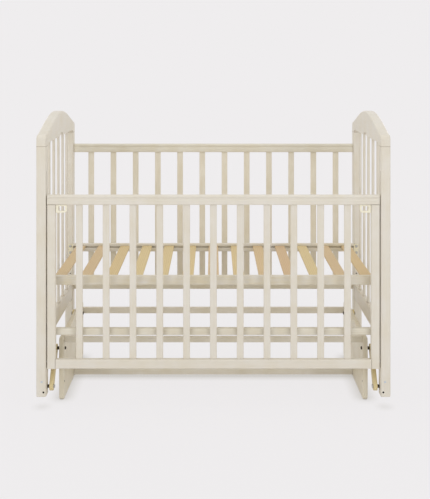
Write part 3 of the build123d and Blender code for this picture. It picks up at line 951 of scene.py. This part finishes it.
@dataclass(frozen=True)
class Metal:
    """Plated or blackened steel and brass: metallic, with uneven sheen and handling marks.

    Attributes:
        name: Name of the material.
        colour: Colour of the clean metal.
        stain_colour: Colour of the cloudy patches of its plating.
        smooth: Roughness of the bright spots.
        rough: Roughness of the dull spots.
        cloud: Width of one patch.
        metallic: Share of bare metal, lower under a black oxide film.
    """

    name: str
    colour: str
    stain_colour: str
    smooth: float
    rough: float
    cloud: float = 0.003
    metallic: float = 1.0

    def build(self) -> bpy.types.Material:
        """Build the material.

        Returns:
            The finished material.
        """
        material = bpy.data.materials.new(self.name)
        material.use_nodes = True
        tree = material.node_tree
        shader = tree.nodes["Principled BSDF"]
        place = add_node(tree, "ShaderNodeTexCoord").outputs["Object"]
        patches = add_node(
            tree,
            "ShaderNodeTexNoise",
            {},
            {"Vector": place, "Scale": 1 / self.cloud, "Detail": 3.0, "Distortion": 0.8},
        )
        amount = add_node(
            tree,
            "ShaderNodeMapRange",
            {},
            {"Value": patches.outputs["Fac"], "From Min": 0.4, "From Max": 0.7},
        )
        mix = add_node(
            tree,
            "ShaderNodeMix",
            {"data_type": "RGBA"},
            {0: amount.outputs["Result"], 6: linear(self.colour), 7: linear(self.stain_colour)},
        )
        sheen = add_node(
            tree,
            "ShaderNodeMapRange",
            {},
            {"Value": patches.outputs["Fac"], "To Min": self.smooth, "To Max": self.rough},
        )
        # Turning marks about 0.3 mm apart.
        marks = add_node(
            tree, "ShaderNodeTexNoise", {}, {"Vector": place, "Scale": 1 / 0.0003, "Detail": 1.0}
        )
        raised = add_node(
            tree,
            "ShaderNodeBump",
            {},
            {"Height": marks.outputs["Fac"], "Strength": 0.08, "Distance": 0.00005},
        )
        tree.links.new(mix.outputs[2], shader.inputs["Base Color"])
        tree.links.new(sheen.outputs["Result"], shader.inputs["Roughness"])
        tree.links.new(raised.outputs["Normal"], shader.inputs["Normal"])
        shader.inputs["Metallic"].default_value = self.metallic
        return material


# Fastenings


@dataclass(frozen=True)
class Screw:
    """One screw or bolt, modelled upright at the origin with the top of its head at zero.

    Attributes:
        head: Shape of the head.
        drive: Recess in the head.
        head_radius: Radius of the head.
        head_height: Height of the head.
        shank_radius: Radius of the shank.
        length: Whole length from the top of the head to the tip.
        drive_radius: Reach of the recess from the axis.
        drive_depth: Depth of the recess.
        pointed: Whether the shank ends in a point, as a wood screw's does.
    """

    head: Head
    drive: Drive
    head_radius: float
    head_height: float
    shank_radius: float
    length: float
    drive_radius: float
    drive_depth: float
    pointed: bool = True

    def model(self) -> bpy.types.Object:
        """Model the screw from a turned blank and cut its recess.

        Returns:
            The screw, pointing down from the origin.
        """
        blank = self.turn_blank()
        self.shape_head(blank)
        self.draw_shank(blank)
        bpy.ops.object.mode_set(mode="OBJECT")
        cut_away(blank, self.recess_cutter())
        make_active(blank)
        bpy.ops.object.shade_smooth_by_angle(angle=math.radians(35))
        return blank

    def turn_blank(self) -> bpy.types.Object:
        """Add the head's blank and leave it in edit mode.

        Returns:
            The blank.
        """
        deselect()
        bpy.ops.mesh.primitive_cylinder_add(
            vertices=28,
            radius=self.head_radius,
            depth=self.head_height,
            location=(0, 0, -self.head_height / 2),
        )
        blank = bpy.context.object
        bpy.ops.object.transform_apply(location=True, rotation=True, scale=True)
        bpy.ops.object.mode_set(mode="EDIT")
        bpy.ops.mesh.select_all(action="DESELECT")
        return blank

    def shape_head(self, blank: bpy.types.Object) -> None:
        """Dome a pan head, taper a flat head, or round a barrel head's rim.

        Args:
            blank: The blank, in edit mode.
        """
        low = -self.head_height
        if self.head is Head.FLAT:
            pick_faces(blank, lambda face: face.normal.z < -0.9)
            shrink = self.shank_radius / self.head_radius
            bpy.ops.transform.resize(value=(shrink, shrink, 1))
            return
        share = 0.5 if self.head is Head.PAN else 0.18
        pick_edges(blank, lambda edge: all(v.co.z > low / 2 for v in edge.verts))
        bpy.ops.mesh.bevel(
            offset=self.head_height * share, segments=4, profile=0.5, affect="EDGES"
        )

    def draw_shank(self, blank: bpy.types.Object) -> None:
        """Draw the shank out of the head's underside, with its end.

        Args:
            blank: The blank, in edit mode.
        """
        low = -self.head_height
        pick_faces(
            blank,
            lambda face: face.normal.z < -0.9 and all(v.co.z < low + 1e-5 for v in face.verts),
        )
        if self.head is not Head.FLAT:
            bpy.ops.mesh.inset(thickness=self.head_radius - self.shank_radius)
        tip = self.shank_radius * (2.2 if self.pointed else 0.5)
        shrink = 0.15 if self.pointed else 0.8
        straight = self.length - self.head_height - tip
        bpy.ops.mesh.extrude_region_move(TRANSFORM_OT_translate={"value": (0, 0, -straight)})
        bpy.ops.mesh.extrude_region_move(TRANSFORM_OT_translate={"value": (0, 0, -tip)})
        bpy.ops.transform.resize(value=(shrink, shrink, 1))

    def recess_cutter(self) -> bpy.types.Object:
        """Model the punch that leaves the recess.

        Returns:
            The punch, through the top of the head.
        """
        rise = 0.0004
        height = self.drive_depth + rise
        middle = (0, 0, rise - height / 2)
        if self.drive is Drive.HEX:
            deselect()
            bpy.ops.mesh.primitive_cylinder_add(
                vertices=6, radius=self.drive_radius, depth=height, location=middle
            )
            bpy.ops.object.transform_apply(location=True, rotation=True, scale=True)
            return bpy.context.object
        wing = self.drive_radius * 0.30
        wings = []
        for reach in ((self.drive_radius, wing), (wing, self.drive_radius)):
            deselect()
            bpy.ops.mesh.primitive_cube_add(size=1, location=middle)
            bpy.ops.transform.resize(value=(2 * reach[0], 2 * reach[1], height))
            bpy.ops.object.transform_apply(location=True, rotation=True, scale=True)
            bar = bpy.context.object
            bpy.ops.object.mode_set(mode="EDIT")
            pick_faces(bar, lambda face: face.normal.z < -0.9)
            bpy.ops.transform.resize(value=(0.55, 0.55, 1))
            bpy.ops.object.mode_set(mode="OBJECT")
            wings.append(bar)
        make_active(wings[0])
        merge = wings[0].modifiers.new("merge", "BOOLEAN")
        merge.operation = "UNION"
        merge.solver = "EXACT"
        merge.object = wings[1]
        bpy.ops.object.modifier_apply(modifier=merge.name)
        bpy.data.objects.remove(wings[1])
        return wings[0]

    def fit(self, name: str, node: str, axis: Axis, body: str, slot: str) -> bpy.types.Object:
        """Put a copy of the screw in the place of every solid of a CAD node.

        Args:
            name: Name of the finished piece.
            node: CAD node that it stands for.
            axis: Direction of the screws.
            body: CAD body that it rides on.
            slot: Not used.

        Returns:
            All the screws of the node as one piece.
        """
        pattern = self.model()
        copies = []
        for number, (low, high) in enumerate(solid_boxes(node)):
            middle = (low + high) / 2
            outward = self.outward(middle, axis)
            top = middle.copy()
            top[axis.value] = (high if outward[axis.value] > 0 else low)[axis.value]
            copy = bpy.data.objects.new(f"{name}_{number}", pattern.data.copy())
            bpy.context.scene.collection.objects.link(copy)
            turn = Vector((0, 0, 1)).rotation_difference(outward).to_matrix().to_4x4()
            copy.data.transform(Matrix.Translation(top) @ turn)
            copies.append(copy)
        bpy.data.objects.remove(pattern)
        whole = join(name, copies)
        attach(whole, body)
        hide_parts(node)
        return whole

    def outward(self, middle: Vector, axis: Axis) -> Vector:
        """Find which way a screw's head looks.

        Args:
            middle: Middle of the screw's place.
            axis: Direction of the screw.

        Returns:
            Outwards along X; towards the crib's middle along Y, where the brackets' screws are.
        """
        way = Vector((0, 0, 0))
        if axis is Axis.LENGTH:
            way.x = math.copysign(1, middle.x)
        else:
            way.y = -math.copysign(1, middle.y)
        return way


@dataclass(frozen=True)
class HolePlug:
    """Push-in cap of milky polythene: a low dome with a rim.

    Attributes:
        radius: Radius of the cap.
        depth: Length of the cap and its stem.
        dome: Height of the dome.
        rim: Width of the flat rim round the dome.
    """

    radius: float = 0.004
    depth: float = 0.008
    dome: float = 0.0009
    rim: float = 0.0008

    def fit(self, name: str, node: str, body: str, slot: str) -> bpy.types.Object:
        """Put a plug in the place of every solid of the CAD node.

        Args:
            name: Name of the finished piece.
            node: CAD node that it stands for.
            body: CAD body that it rides on.
            slot: Not used.

        Returns:
            The plugs as one piece.
        """
        plugs = []
        for low, high in solid_boxes(node):
            middle = (low + high) / 2
            plugs.append(self.model(Vector((middle.x, low.y, middle.z))))
        whole = join(name, plugs)
        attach(whole, body)
        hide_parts(node)
        return whole

    def model(self, mouth: Vector) -> bpy.types.Object:
        """Model one plug whose cap is flush with the post.

        Args:
            mouth: Centre of the cap's outer face.

        Returns:
            The plug in its place.
        """
        deselect()
        bpy.ops.mesh.primitive_cylinder_add(
            vertices=32,
            radius=self.radius,
            depth=self.depth,
            location=(mouth.x, mouth.y + self.depth / 2, mouth.z),
            rotation=(math.radians(90), 0, 0),
        )
        plug = bpy.context.object
        bpy.ops.object.transform_apply(location=True, rotation=True, scale=True)
        bpy.ops.object.mode_set(mode="EDIT")
        bpy.ops.mesh.select_all(action="DESELECT")
        pick_faces(plug, lambda face: face.normal.y < -0.9)
        bpy.ops.mesh.inset(thickness=self.rim)
        bpy.ops.mesh.inset(thickness=self.rim * 0.4)
        bpy.ops.transform.translate(value=(0, self.dome, 0))
        bpy.ops.mesh.inset(thickness=self.radius * 0.25)
        bpy.ops.transform.translate(value=(0, -self.dome * 0.6, 0))
        bpy.ops.mesh.inset(thickness=self.radius * 0.25)
        bpy.ops.transform.translate(value=(0, -self.dome * 0.3, 0))
        bpy.ops.object.mode_set(mode="OBJECT")
        bpy.ops.object.shade_smooth_by_angle(angle=math.radians(50))
        return plug


@dataclass(frozen=True)
class SpacerRing:
    """Turned steel washer that keeps a link clear of the wood beside it.

    Attributes:
        radius: Outer radius.
        bore: Radius of its hole, with the bolt's clearance.
        rim: Width of the rounding at its edges.
    """

    radius: float = 0.0060
    bore: float = 0.0041
    rim: float = 0.0007

    def fit(self, name: str, node: str, body: str, slot: str) -> bpy.types.Object:
        """Put a ring in the place of every solid of the CAD node.

        Args:
            name: Name of the finished piece.
            node: CAD node that it stands for.
            body: CAD body that it rides on.
            slot: Not used.

        Returns:
            The rings as one piece.
        """
        rings = []
        for low, high in solid_boxes(node):
            rings.append(self.model((low + high) / 2, high.x - low.x))
        whole = join(name, rings)
        bpy.ops.object.shade_smooth_by_angle(angle=math.radians(35))
        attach(whole, body)
        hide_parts(node)
        return whole

    def model(self, middle: Vector, thickness: float) -> bpy.types.Object:
        """Model one ring round an axis along the crib.

        Args:
            middle: Its centre.
            thickness: Its length along the bolt.

        Returns:
            The ring in its place.
        """
        rods = []
        for radius, length in ((self.radius, thickness), (self.bore, thickness * 2)):
            deselect()
            bpy.ops.mesh.primitive_cylinder_add(
                vertices=36,
                radius=radius,
                depth=length,
                location=middle,
                rotation=(0, math.radians(90), 0),
            )
            bpy.ops.object.transform_apply(location=True, rotation=True, scale=True)
            rods.append(bpy.context.object)
        ring, drill = rods
        make_active(ring)
        bpy.ops.object.mode_set(mode="EDIT")
        pick_edges(ring, lambda edge: abs(edge.verts[0].co.x - edge.verts[1].co.x) < 1e-6)
        bpy.ops.mesh.bevel(offset=self.rim, segments=3, profile=0.5, affect="EDGES")
        bpy.ops.object.mode_set(mode="OBJECT")
        cut_away(ring, drill)
        return ring


# Sub-assemblies


# Finishes that several sub-assemblies share; the two ivories are darker than the other parts' as
# painted shade
SHADED_IVORY = "#DCD6C6"
SHADED_THIN_IVORY = "#D3CAB4"
ZINC = Metal("zinc_plated_steel", "#C9C7C2", "#B4B1AB", 0.34, 0.52)
BLACK_STEEL = Metal("blackened_steel", "#57514A", "#423D37", 0.42, 0.62, metallic=0.7)


def coat_piece(piece: bpy.types.Object, finish: MouldedPlastic | Metal) -> None:
    """Give a new piece its finish.

    Args:
        piece: The new piece.
        finish: Finish to build for it.
    """
    piece.data.materials.clear()
    piece.data.materials.append(finish.build())
    log.info("built %s, %d faces", piece.name, len(piece.data.polygons))


def record_bores() -> tuple[Bore, ...]:
    """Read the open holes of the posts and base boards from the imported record.

    Returns:
        One bore for each hole and its mirror images.
    """
    bores = {}
    for mount in frame["record"]["mounts"]:
        if mount["kind"] != "bore":
            continue
        mouth = tuple(round(abs(c), 4) for c in mount["pos_m"])
        outward = tuple(
            float(a) * math.copysign(1, c) for a, c in zip(mount["axis"], mount["pos_m"])
        )
        size = mount["dims"]
        bores[mouth] = Bore(mouth, outward, size["r_mm"] / 1000, size["length_mm"] / 1000)
    return tuple(bores[mouth] for mouth in sorted(bores))


@dataclass
class EndPanels:
    """The two ends: posts, arched crowns, cross boards, bars, and what is set into the posts.

    Attributes:
        joint_height: Height of the joint between posts and crowns.
        spare_hole_x: Distance of the spare bracket holes from the middle.
        spare_hole_y: Distance of their mouths from the middle.
        spare_hole_heights: Heights of the spare bracket holes.
        spare_hole_radius: Radius of the spare bracket holes.
        spare_hole_depth: Depth of the spare bracket holes.
    """

    joint_height: float = 0.925
    spare_hole_x: float = 0.6015
    spare_hole_y: float = 0.285
    spare_hole_heights: tuple[float, float] = (0.3575, 0.3305)
    spare_hole_radius: float = 0.0025
    spare_hole_depth: float = 0.014

    def build(self) -> None:
        """Build the plugs and the heads of the connector bolts in the posts."""
        plug = MouldedPlastic(
            "milky_polythene", "#D3D6DA", "#C8CCD2", 0.26, 1.51, grit_strength=0.05, depth=0.3
        )
        coat_piece(HolePlug().fit("post_plug_caps", "post_plugs", "crib", "plug_plastic"), plug)
        bolt = Screw(Head.BARREL, Drive.HEX, 0.0065, 0.0030, 0.0030, 0.067, 0.0029, 0.0020, False)
        coat_piece(
            bolt.fit("connector_bolts", "joint_bolts", Axis.LENGTH, "crib", "zinc_steel"),
            ZINC,
        )

    def dress(self) -> None:
        """Paint the wood of the ends and finish the metal inside."""
        seam = Seam(Axis.UPRIGHT, self.joint_height)
        holes = tuple(
            Bore(
                (self.spare_hole_x, self.spare_hole_y, height),
                (0.0, -1.0, 0.0),
                self.spare_hole_radius,
                self.spare_hole_depth,
            )
            for height in self.spare_hole_heights
        )
        foot = tuple(bore for bore in record_bores() if abs(bore.outward[1]) > 0.5)
        # The posts' drilled holes get painted near-black shade inside.
        posts = PaintedWood("ivory_paint_posts", Axis.UPRIGHT, bores=holes + foot, seams=(seam,))
        coat(
            posts.build(),
            ("front_post_left", "front_post_right", "rear_post_left", "rear_post_right"),
        )
        crowns = PaintedWood("ivory_paint_crowns", Axis.WIDTH, seams=(seam,))
        coat(crowns.build(), ("crown_left", "crown_right"))
        boards = PaintedWood("ivory_paint_cross_boards", Axis.WIDTH)
        coat(boards.build(), ("cross_board_left", "cross_board_right"))
        bars = PaintedWood("ivory_paint_end_bars", Axis.UPRIGHT)
        coat(bars.build(), ("end_bars_left", "end_bars_right"))
        pegs = BareBirch("turned_birch_dowels", 0.5)
        coat(pegs.build(), ("crown_dowels",))
        coat(ZINC.build(), ("barrel_nuts",))


@dataclass
class FixedSide:
    """The rear side and the stretcher between the front posts."""

    def dress(self) -> None:
        """Paint the rails, the stretcher and the rear bars."""
        # Rails and stretcher in a darker ivory than the other parts: painted shade.
        rails = PaintedWood("ivory_paint_rails_shaded", Axis.LENGTH, SHADED_IVORY, SHADED_THIN_IVORY)
        coat(rails.build(), ("rear_top_rail", "rear_low_rail", "front_stretcher"))
        # Rear bars in a lighter ivory than the other parts: painted light.
        bars = PaintedWood("ivory_paint_rear_bars_lit", Axis.UPRIGHT, "#E3DCCB", "#DBD2BC")
        coat(bars.build(), ("rear_bars",))


@dataclass
class MattressBase:
    """The slatted base: two boards, birch slats, brackets and their screws.

    Attributes:
        slat_pitch: Distance between slats.
    """

    slat_pitch: float = 0.0925

    def build(self) -> None:
        """Build the screws of the brackets."""
        pan = Screw(Head.PAN, Drive.CROSS, 0.0058, 0.0025, 0.0025, 0.0185, 0.0030, 0.0016)
        coat_piece(
            pan.fit("bracket_pan_screws", "bracket_screws", Axis.WIDTH, "crib", "zinc_steel"),
            ZINC,
        )
        flat = Screw(Head.FLAT, Drive.CROSS, 0.0035, 0.0014, 0.0020, 0.018, 0.0020, 0.0011)
        coat_piece(
            flat.fit("board_flat_screws", "board_screws", Axis.LENGTH, "crib", "zinc_steel"),
            ZINC,
        )

    def dress(self) -> None:
        """Finish the boards, the slats and the brackets."""
        boards = PaintedWood("ivory_paint_deck_boards", Axis.LENGTH, thin_colour="#D8CDB2")
        coat(boards.build(), ("deck_front_board", "deck_rear_board"))
        coat(BareBirch("planed_birch_slats", self.slat_pitch).build(), ("deck_slats",))
        coat(PowderCoat("cream_powder_coat").build(), ("deck_brackets",))


@dataclass
class LoweringSide:
    """The side that slides down, with its spring catches and guide pins.

    Attributes:
        catch_travel: How far a catch is drawn back. Not used.
    """

    catch_travel: float = 0.010

    def build(self) -> None:
        """Build the two springs."""
        wire = Metal("spring_steel_wire", "#A5A6A6", "#8E8C86", 0.28, 0.42)
        for side in ("left", "right"):
            coat_piece(self.coil(side), wire)

    def coil(self, side: str) -> bpy.types.Object:
        """Copy one spring from the frame.

        Args:
            side: "left" or "right".

        Returns:
            The spring, riding on its catch.
        """
        node = f"catch_spring_{side}"
        mesh = frame["nodes"][node].data.copy()
        piece = bpy.data.objects.new(f"catch_coil_{side}", mesh)
        bpy.context.scene.collection.objects.link(piece)
        make_active(piece)
        bpy.ops.object.mode_set(mode="EDIT")
        bpy.ops.mesh.select_all(action="SELECT")
        bpy.ops.mesh.remove_doubles(threshold=1e-6)
        bpy.ops.object.mode_set(mode="OBJECT")
        bpy.ops.object.shade_smooth_by_angle(angle=math.radians(40))
        low, high = solid_boxes(node)[0]
        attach(piece, f"catch_{side}")
        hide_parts(node)
        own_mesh(piece)
        return piece

    def dress(self) -> None:
        """Paint the side and finish the rest of its catches."""
        rails = PaintedWood("ivory_paint_lowering_rails", Axis.LENGTH)
        coat(rails.build(), ("drop_top_rail", "drop_low_rail"))
        uprights = PaintedWood("ivory_paint_lowering_uprights", Axis.UPRIGHT)
        coat(uprights.build(), ("drop_stile_left", "drop_stile_right", "drop_bars"))
        pull = MouldedPlastic("cream_moulded_pulls", "#F1ECD8", "#EDE6CE", 0.34, 1.53)
        coat(pull.build(), ("catch_pull_left", "catch_pull_right"))
        coat(ZINC.build(), ("catch_bolt_left", "catch_bolt_right", "guide_pins"))


@dataclass
class PendulumBase:
    """The low base on the floor, with the upper pivots of the links."""

    def build(self) -> None:
        """Build the screws that hold the beams and the rings of the upper pivots."""
        screw = Screw(Head.FLAT, Drive.CROSS, 0.0050, 0.0030, 0.0025, 0.053, 0.0028, 0.0018)
        coat_piece(
            screw.fit("base_flat_screws", "base_screws", Axis.LENGTH, "base", "zinc_steel"),
            ZINC,
        )
        rings = SpacerRing().fit("upper_washers", "upper_pivot_rings", "base", "dark_steel")
        coat_piece(rings, BLACK_STEEL)

    def dress(self) -> None:
        """Paint the boards and beams and finish the pivots."""
        # The lock holes get painted near-black shade inside.
        locks = tuple(bore for bore in record_bores() if abs(bore.outward[0]) > 0.5)
        # Boards in a lighter ivory than the other parts: painted light.
        boards = PaintedWood(
            "ivory_paint_base_boards_lit", Axis.UPRIGHT, "#E7E0CD", "#DED5BE", bores=locks
        )
        coat(boards.build(), ("base_board_left", "base_board_right"))
        # Beams in a lighter ivory than the other parts: painted light.
        beams = PaintedWood("ivory_paint_base_beams_lit", Axis.LENGTH, "#E4DED0", "#DCD4C0")
        coat(beams.build(), ("base_front_beam", "base_rear_beam", "base_floor_beam"))
        coat(BLACK_STEEL.build(), ("upper_pivot_bolts", "upper_pivot_nuts"))


@dataclass
class SwingLinks:
    """The four links, their bushes and the lower pivots in the posts.

    Attributes:
        lean: Angle of a link from upright.
    """

    lean: float = math.atan2(0.078, 0.1105)

    def build(self) -> None:
        """Build the rings of the lower pivots."""
        rings = SpacerRing().fit("lower_washers", "lower_pivot_rings", "crib", "dark_steel")
        coat_piece(rings, BLACK_STEEL)

    def dress(self) -> None:
        """Varnish the links and finish their pivots."""
        front = VarnishedBeech("varnished_beech_front_links", -self.lean)
        coat(front.build(), ("front_link_left", "front_link_right"))
        rear = VarnishedBeech("varnished_beech_rear_links", self.lean)
        coat(rear.build(), ("rear_link_left", "rear_link_right"))
        nylon = MouldedPlastic("natural_nylon_bushes", "#E4E1D4", "#DAD6C6", 0.4, 1.53, depth=0.2)
        coat(nylon.build(), ("front_link_bushes", "rear_link_bushes"))
        coat(ZINC.build(), ("lower_pivot_bolts",))
        brass = Metal("turned_brass", "#C4A562", "#AD8D4E", 0.26, 0.4)
        coat(brass.build(), ("lower_pivot_inserts",))


@dataclass
class Studio:
    """Pale seamless floor and backdrop with soft lamps in front, behind and above.

    Attributes:
        backdrop: Colour of the floor and backdrop as the camera sees them.
        ambient: Strength of the even light from all round.
        lamp_place: Place of the right-hand front lamp; the left one is its mirror image.
        lamp_size: Width and height of a front lamp.
        lamp_power: Power of a front lamp.
        rear_power: Power of a rear lamp; the rear lamps mirror the front ones.
        top_height: Height of the lamp above.
        top_size: Width of the lamp above.
        top_power: Power of the lamp above.
        floor_size: Width of the floor.
        fade_start: Distance from the crib's middle where the floor starts to lose its shading.
        fade_end: Distance where it is as even as the backdrop.
        shadow_share: Share of the real shading that the floor shows to the camera.
        contact_shadow_colour: Colour of the painted contact shadow on the floor where the crib touches
            it.
        contact_reach: How far the contact shadow reaches.
    """

    backdrop: str = "#EFEDEE"
    ambient: float = 0.67
    lamp_place: Point = (2.5, -3.3, 1.7)
    lamp_size: tuple[float, float] = (1.3, 1.9)
    lamp_power: float = 27.5
    rear_power: float = 14.0
    top_height: float = 3.0
    top_size: float = 2.6
    top_power: float = 15.0
    floor_size: float = 12.0
    fade_start: float = 0.9
    fade_end: float = 1.9
    shadow_share: float = 0.09
    contact_shadow_colour: str = "#B6B2A8"
    contact_reach: float = 0.05

    def build(self) -> None:
        """Build the floor, the world and the lamps."""
        self.lay_floor()
        self.light_world()
        aim = Vector((0, 0, 0.5))
        for side in (-1, 1):
            place = Vector((side * self.lamp_place[0], *self.lamp_place[1:]))
            self.hang_lamp("front_softbox", place, aim, self.lamp_size, self.lamp_power)
            place.y = -place.y
            self.hang_lamp("rear_softbox", place, aim, self.lamp_size, self.rear_power)
        above = Vector((0, -0.2, self.top_height))
        self.hang_lamp(
            "top_softbox", above, Vector((0, 0, 0)), (self.top_size, self.top_size), self.top_power
        )

    def hang_lamp(
        self, name: str, place: Vector, aim: Vector, size: tuple[float, float], power: float
    ) -> None:
        """Hang one soft rectangular lamp.

        Args:
            name: Name of the lamp.
            place: Where it hangs.
            aim: Point that it faces.
            size: Width and height.
            power: Power in watts.
        """
        turn = (aim - place).to_track_quat("-Z", "Y").to_euler()
        deselect()
        bpy.ops.object.light_add(type="AREA", location=place, rotation=turn)
        lamp = bpy.context.object
        lamp.name = name
        lamp.data.shape = "RECTANGLE"
        lamp.data.size, lamp.data.size_y = size
        lamp.data.energy = power

    def seen_directly(self, tree: bpy.types.NodeTree) -> bpy.types.NodeSocket:
        """Tell the rays that should meet the plain backdrop colour.

        Args:
            tree: Node tree of the floor or the world.

        Returns:
            1 for what the camera, gloss and glass see, and 0 for the light itself.
        """
        path = add_node(tree, "ShaderNodeLightPath")
        gloss = add_node(
            tree,
            "ShaderNodeMath",
            {"operation": "MAXIMUM"},
            {0: path.outputs["Is Camera Ray"], 1: path.outputs["Is Glossy Ray"]},
        )
        every = add_node(
            tree,
            "ShaderNodeMath",
            {"operation": "MAXIMUM"},
            {0: gloss.outputs["Value"], 1: path.outputs["Is Transmission Ray"]},
        )
        return every.outputs["Value"]

    def lay_floor(self) -> None:
        """Lay the floor, which keeps the shadow near the crib, shows the camera a painted contact
        shadow where the crib touches it, and fades to the backdrop.
        """
        deselect()
        bpy.ops.mesh.primitive_circle_add(
            vertices=64, radius=self.floor_size / 2, fill_type="NGON"
        )
        floor = bpy.context.object
        floor.name = "studio_floor"
        material = bpy.data.materials.new("matt_paper_sweep")
        material.use_nodes = True
        tree = material.node_tree
        shader = tree.nodes["Principled BSDF"]
        output = tree.nodes["Material Output"]
        shader.inputs["Base Color"].default_value = linear(self.backdrop)
        shader.inputs["Roughness"].default_value = 0.9
        shader.inputs["Specular IOR Level"].default_value = 0.1
        place = add_node(tree, "ShaderNodeTexCoord").outputs["Object"]
        distance = add_node(tree, "ShaderNodeVectorMath", {"operation": "LENGTH"}, {0: place})
        plain = add_node(
            tree,
            "ShaderNodeMapRange",
            {"interpolation_type": "SMOOTHSTEP"},
            {
                "Value": distance.outputs["Value"],
                "From Min": self.fade_start,
                "From Max": self.fade_end,
                "To Min": 1 - self.shadow_share,
                "To Max": 1.0,
            },
        )
        share = add_node(
            tree,
            "ShaderNodeMath",
            {"operation": "MULTIPLY"},
            {0: plain.outputs["Result"], 1: self.seen_directly(tree)},
        )
        # Painted contact shadow: what the camera sees of the floor darkens where the crib is near.
        near = add_node(
            tree, "ShaderNodeAmbientOcclusion", {"samples": 12}, {"Distance": self.contact_reach}
        )
        contact = add_node(
            tree,
            "ShaderNodeMix",
            {"data_type": "RGBA"},
            {
                0: near.outputs["AO"],
                6: linear(self.contact_shadow_colour),
                7: linear(self.backdrop),
            },
        )
        even = add_node(
            tree,
            "ShaderNodeEmission",
            {},
            {"Color": contact.outputs[2], "Strength": 1.0},
        )
        mix = add_node(
            tree,
            "ShaderNodeMixShader",
            {},
            {
                0: share.outputs["Value"],
                1: shader.outputs["BSDF"],
                2: even.outputs["Emission"],
            },
        )
        tree.links.new(mix.outputs["Shader"], output.inputs["Surface"])
        floor.data.materials.append(material)

    def light_world(self) -> None:
        """Light the crib evenly from all round and show the plain backdrop behind it."""
        world = bpy.data.worlds.new("studio_world")
        bpy.context.scene.world = world
        world.use_nodes = True
        tree = world.node_tree
        tree.nodes.clear()
        light = add_node(
            tree, "ShaderNodeBackground", {}, {"Color": (1, 1, 1, 1), "Strength": self.ambient}
        )
        behind = add_node(
            tree,
            "ShaderNodeBackground",
            {},
            {"Color": linear(self.backdrop), "Strength": 1.0},
        )
        mix = add_node(
            tree,
            "ShaderNodeMixShader",
            {},
            {
                0: self.seen_directly(tree),
                1: light.outputs["Background"],
                2: behind.outputs["Background"],
            },
        )
        add_node(tree, "ShaderNodeOutputWorld", {}, {"Surface": mix.outputs["Shader"]})


@dataclass
class PhotoCamera:
    """Level camera at the photograph's viewpoint.

    Attributes:
        image_width: Width of the photograph in pixels.
        image_height: Height of the photograph in pixels.
        focal_length: Focal length in pixels.
        vanishing_point: Pixel that the camera looks at straight ahead.
        place: Where the camera stands.
        sensor: Width of the sensor in millimetres.
    """

    image_width: int = 430
    image_height: int = 499
    focal_length: float = 898.2
    vanishing_point: tuple[float, float] = (213.4, 57.0)
    place: Point = (0.0, -3.495, 1.241)
    sensor: float = 36.0

    def build(self) -> None:
        """Set up the camera."""
        deselect()
        bpy.ops.object.camera_add(location=self.place, rotation=(math.radians(90), 0, 0))
        camera = bpy.context.object
        camera.name = "photo_camera"
        longer = max(self.image_width, self.image_height)
        camera.data.sensor_width = self.sensor
        camera.data.lens = self.sensor * self.focal_length / longer
        camera.data.shift_x = (self.image_width / 2 - self.vanishing_point[0]) / longer
        camera.data.shift_y = (self.vanishing_point[1] - self.image_height / 2) / longer
        bpy.context.scene.camera = camera


def main() -> None:
    """Build and dress the crib, and set up the studio and the camera."""
    logging.basicConfig(level=logging.INFO, format="%(message)s")
    bpy.context.scene.view_settings.view_transform = "Standard"
    ends, deck, side = EndPanels(), MattressBase(), LoweringSide()
    base, links = PendulumBase(), SwingLinks()
    for part in (ends, deck, side, base, links):
        part.build()
    for part in (ends, FixedSide(), deck, side, base, links):
        part.dress()
    Studio().build()
    PhotoCamera().build()


if __name__ == "__main__":
    main()
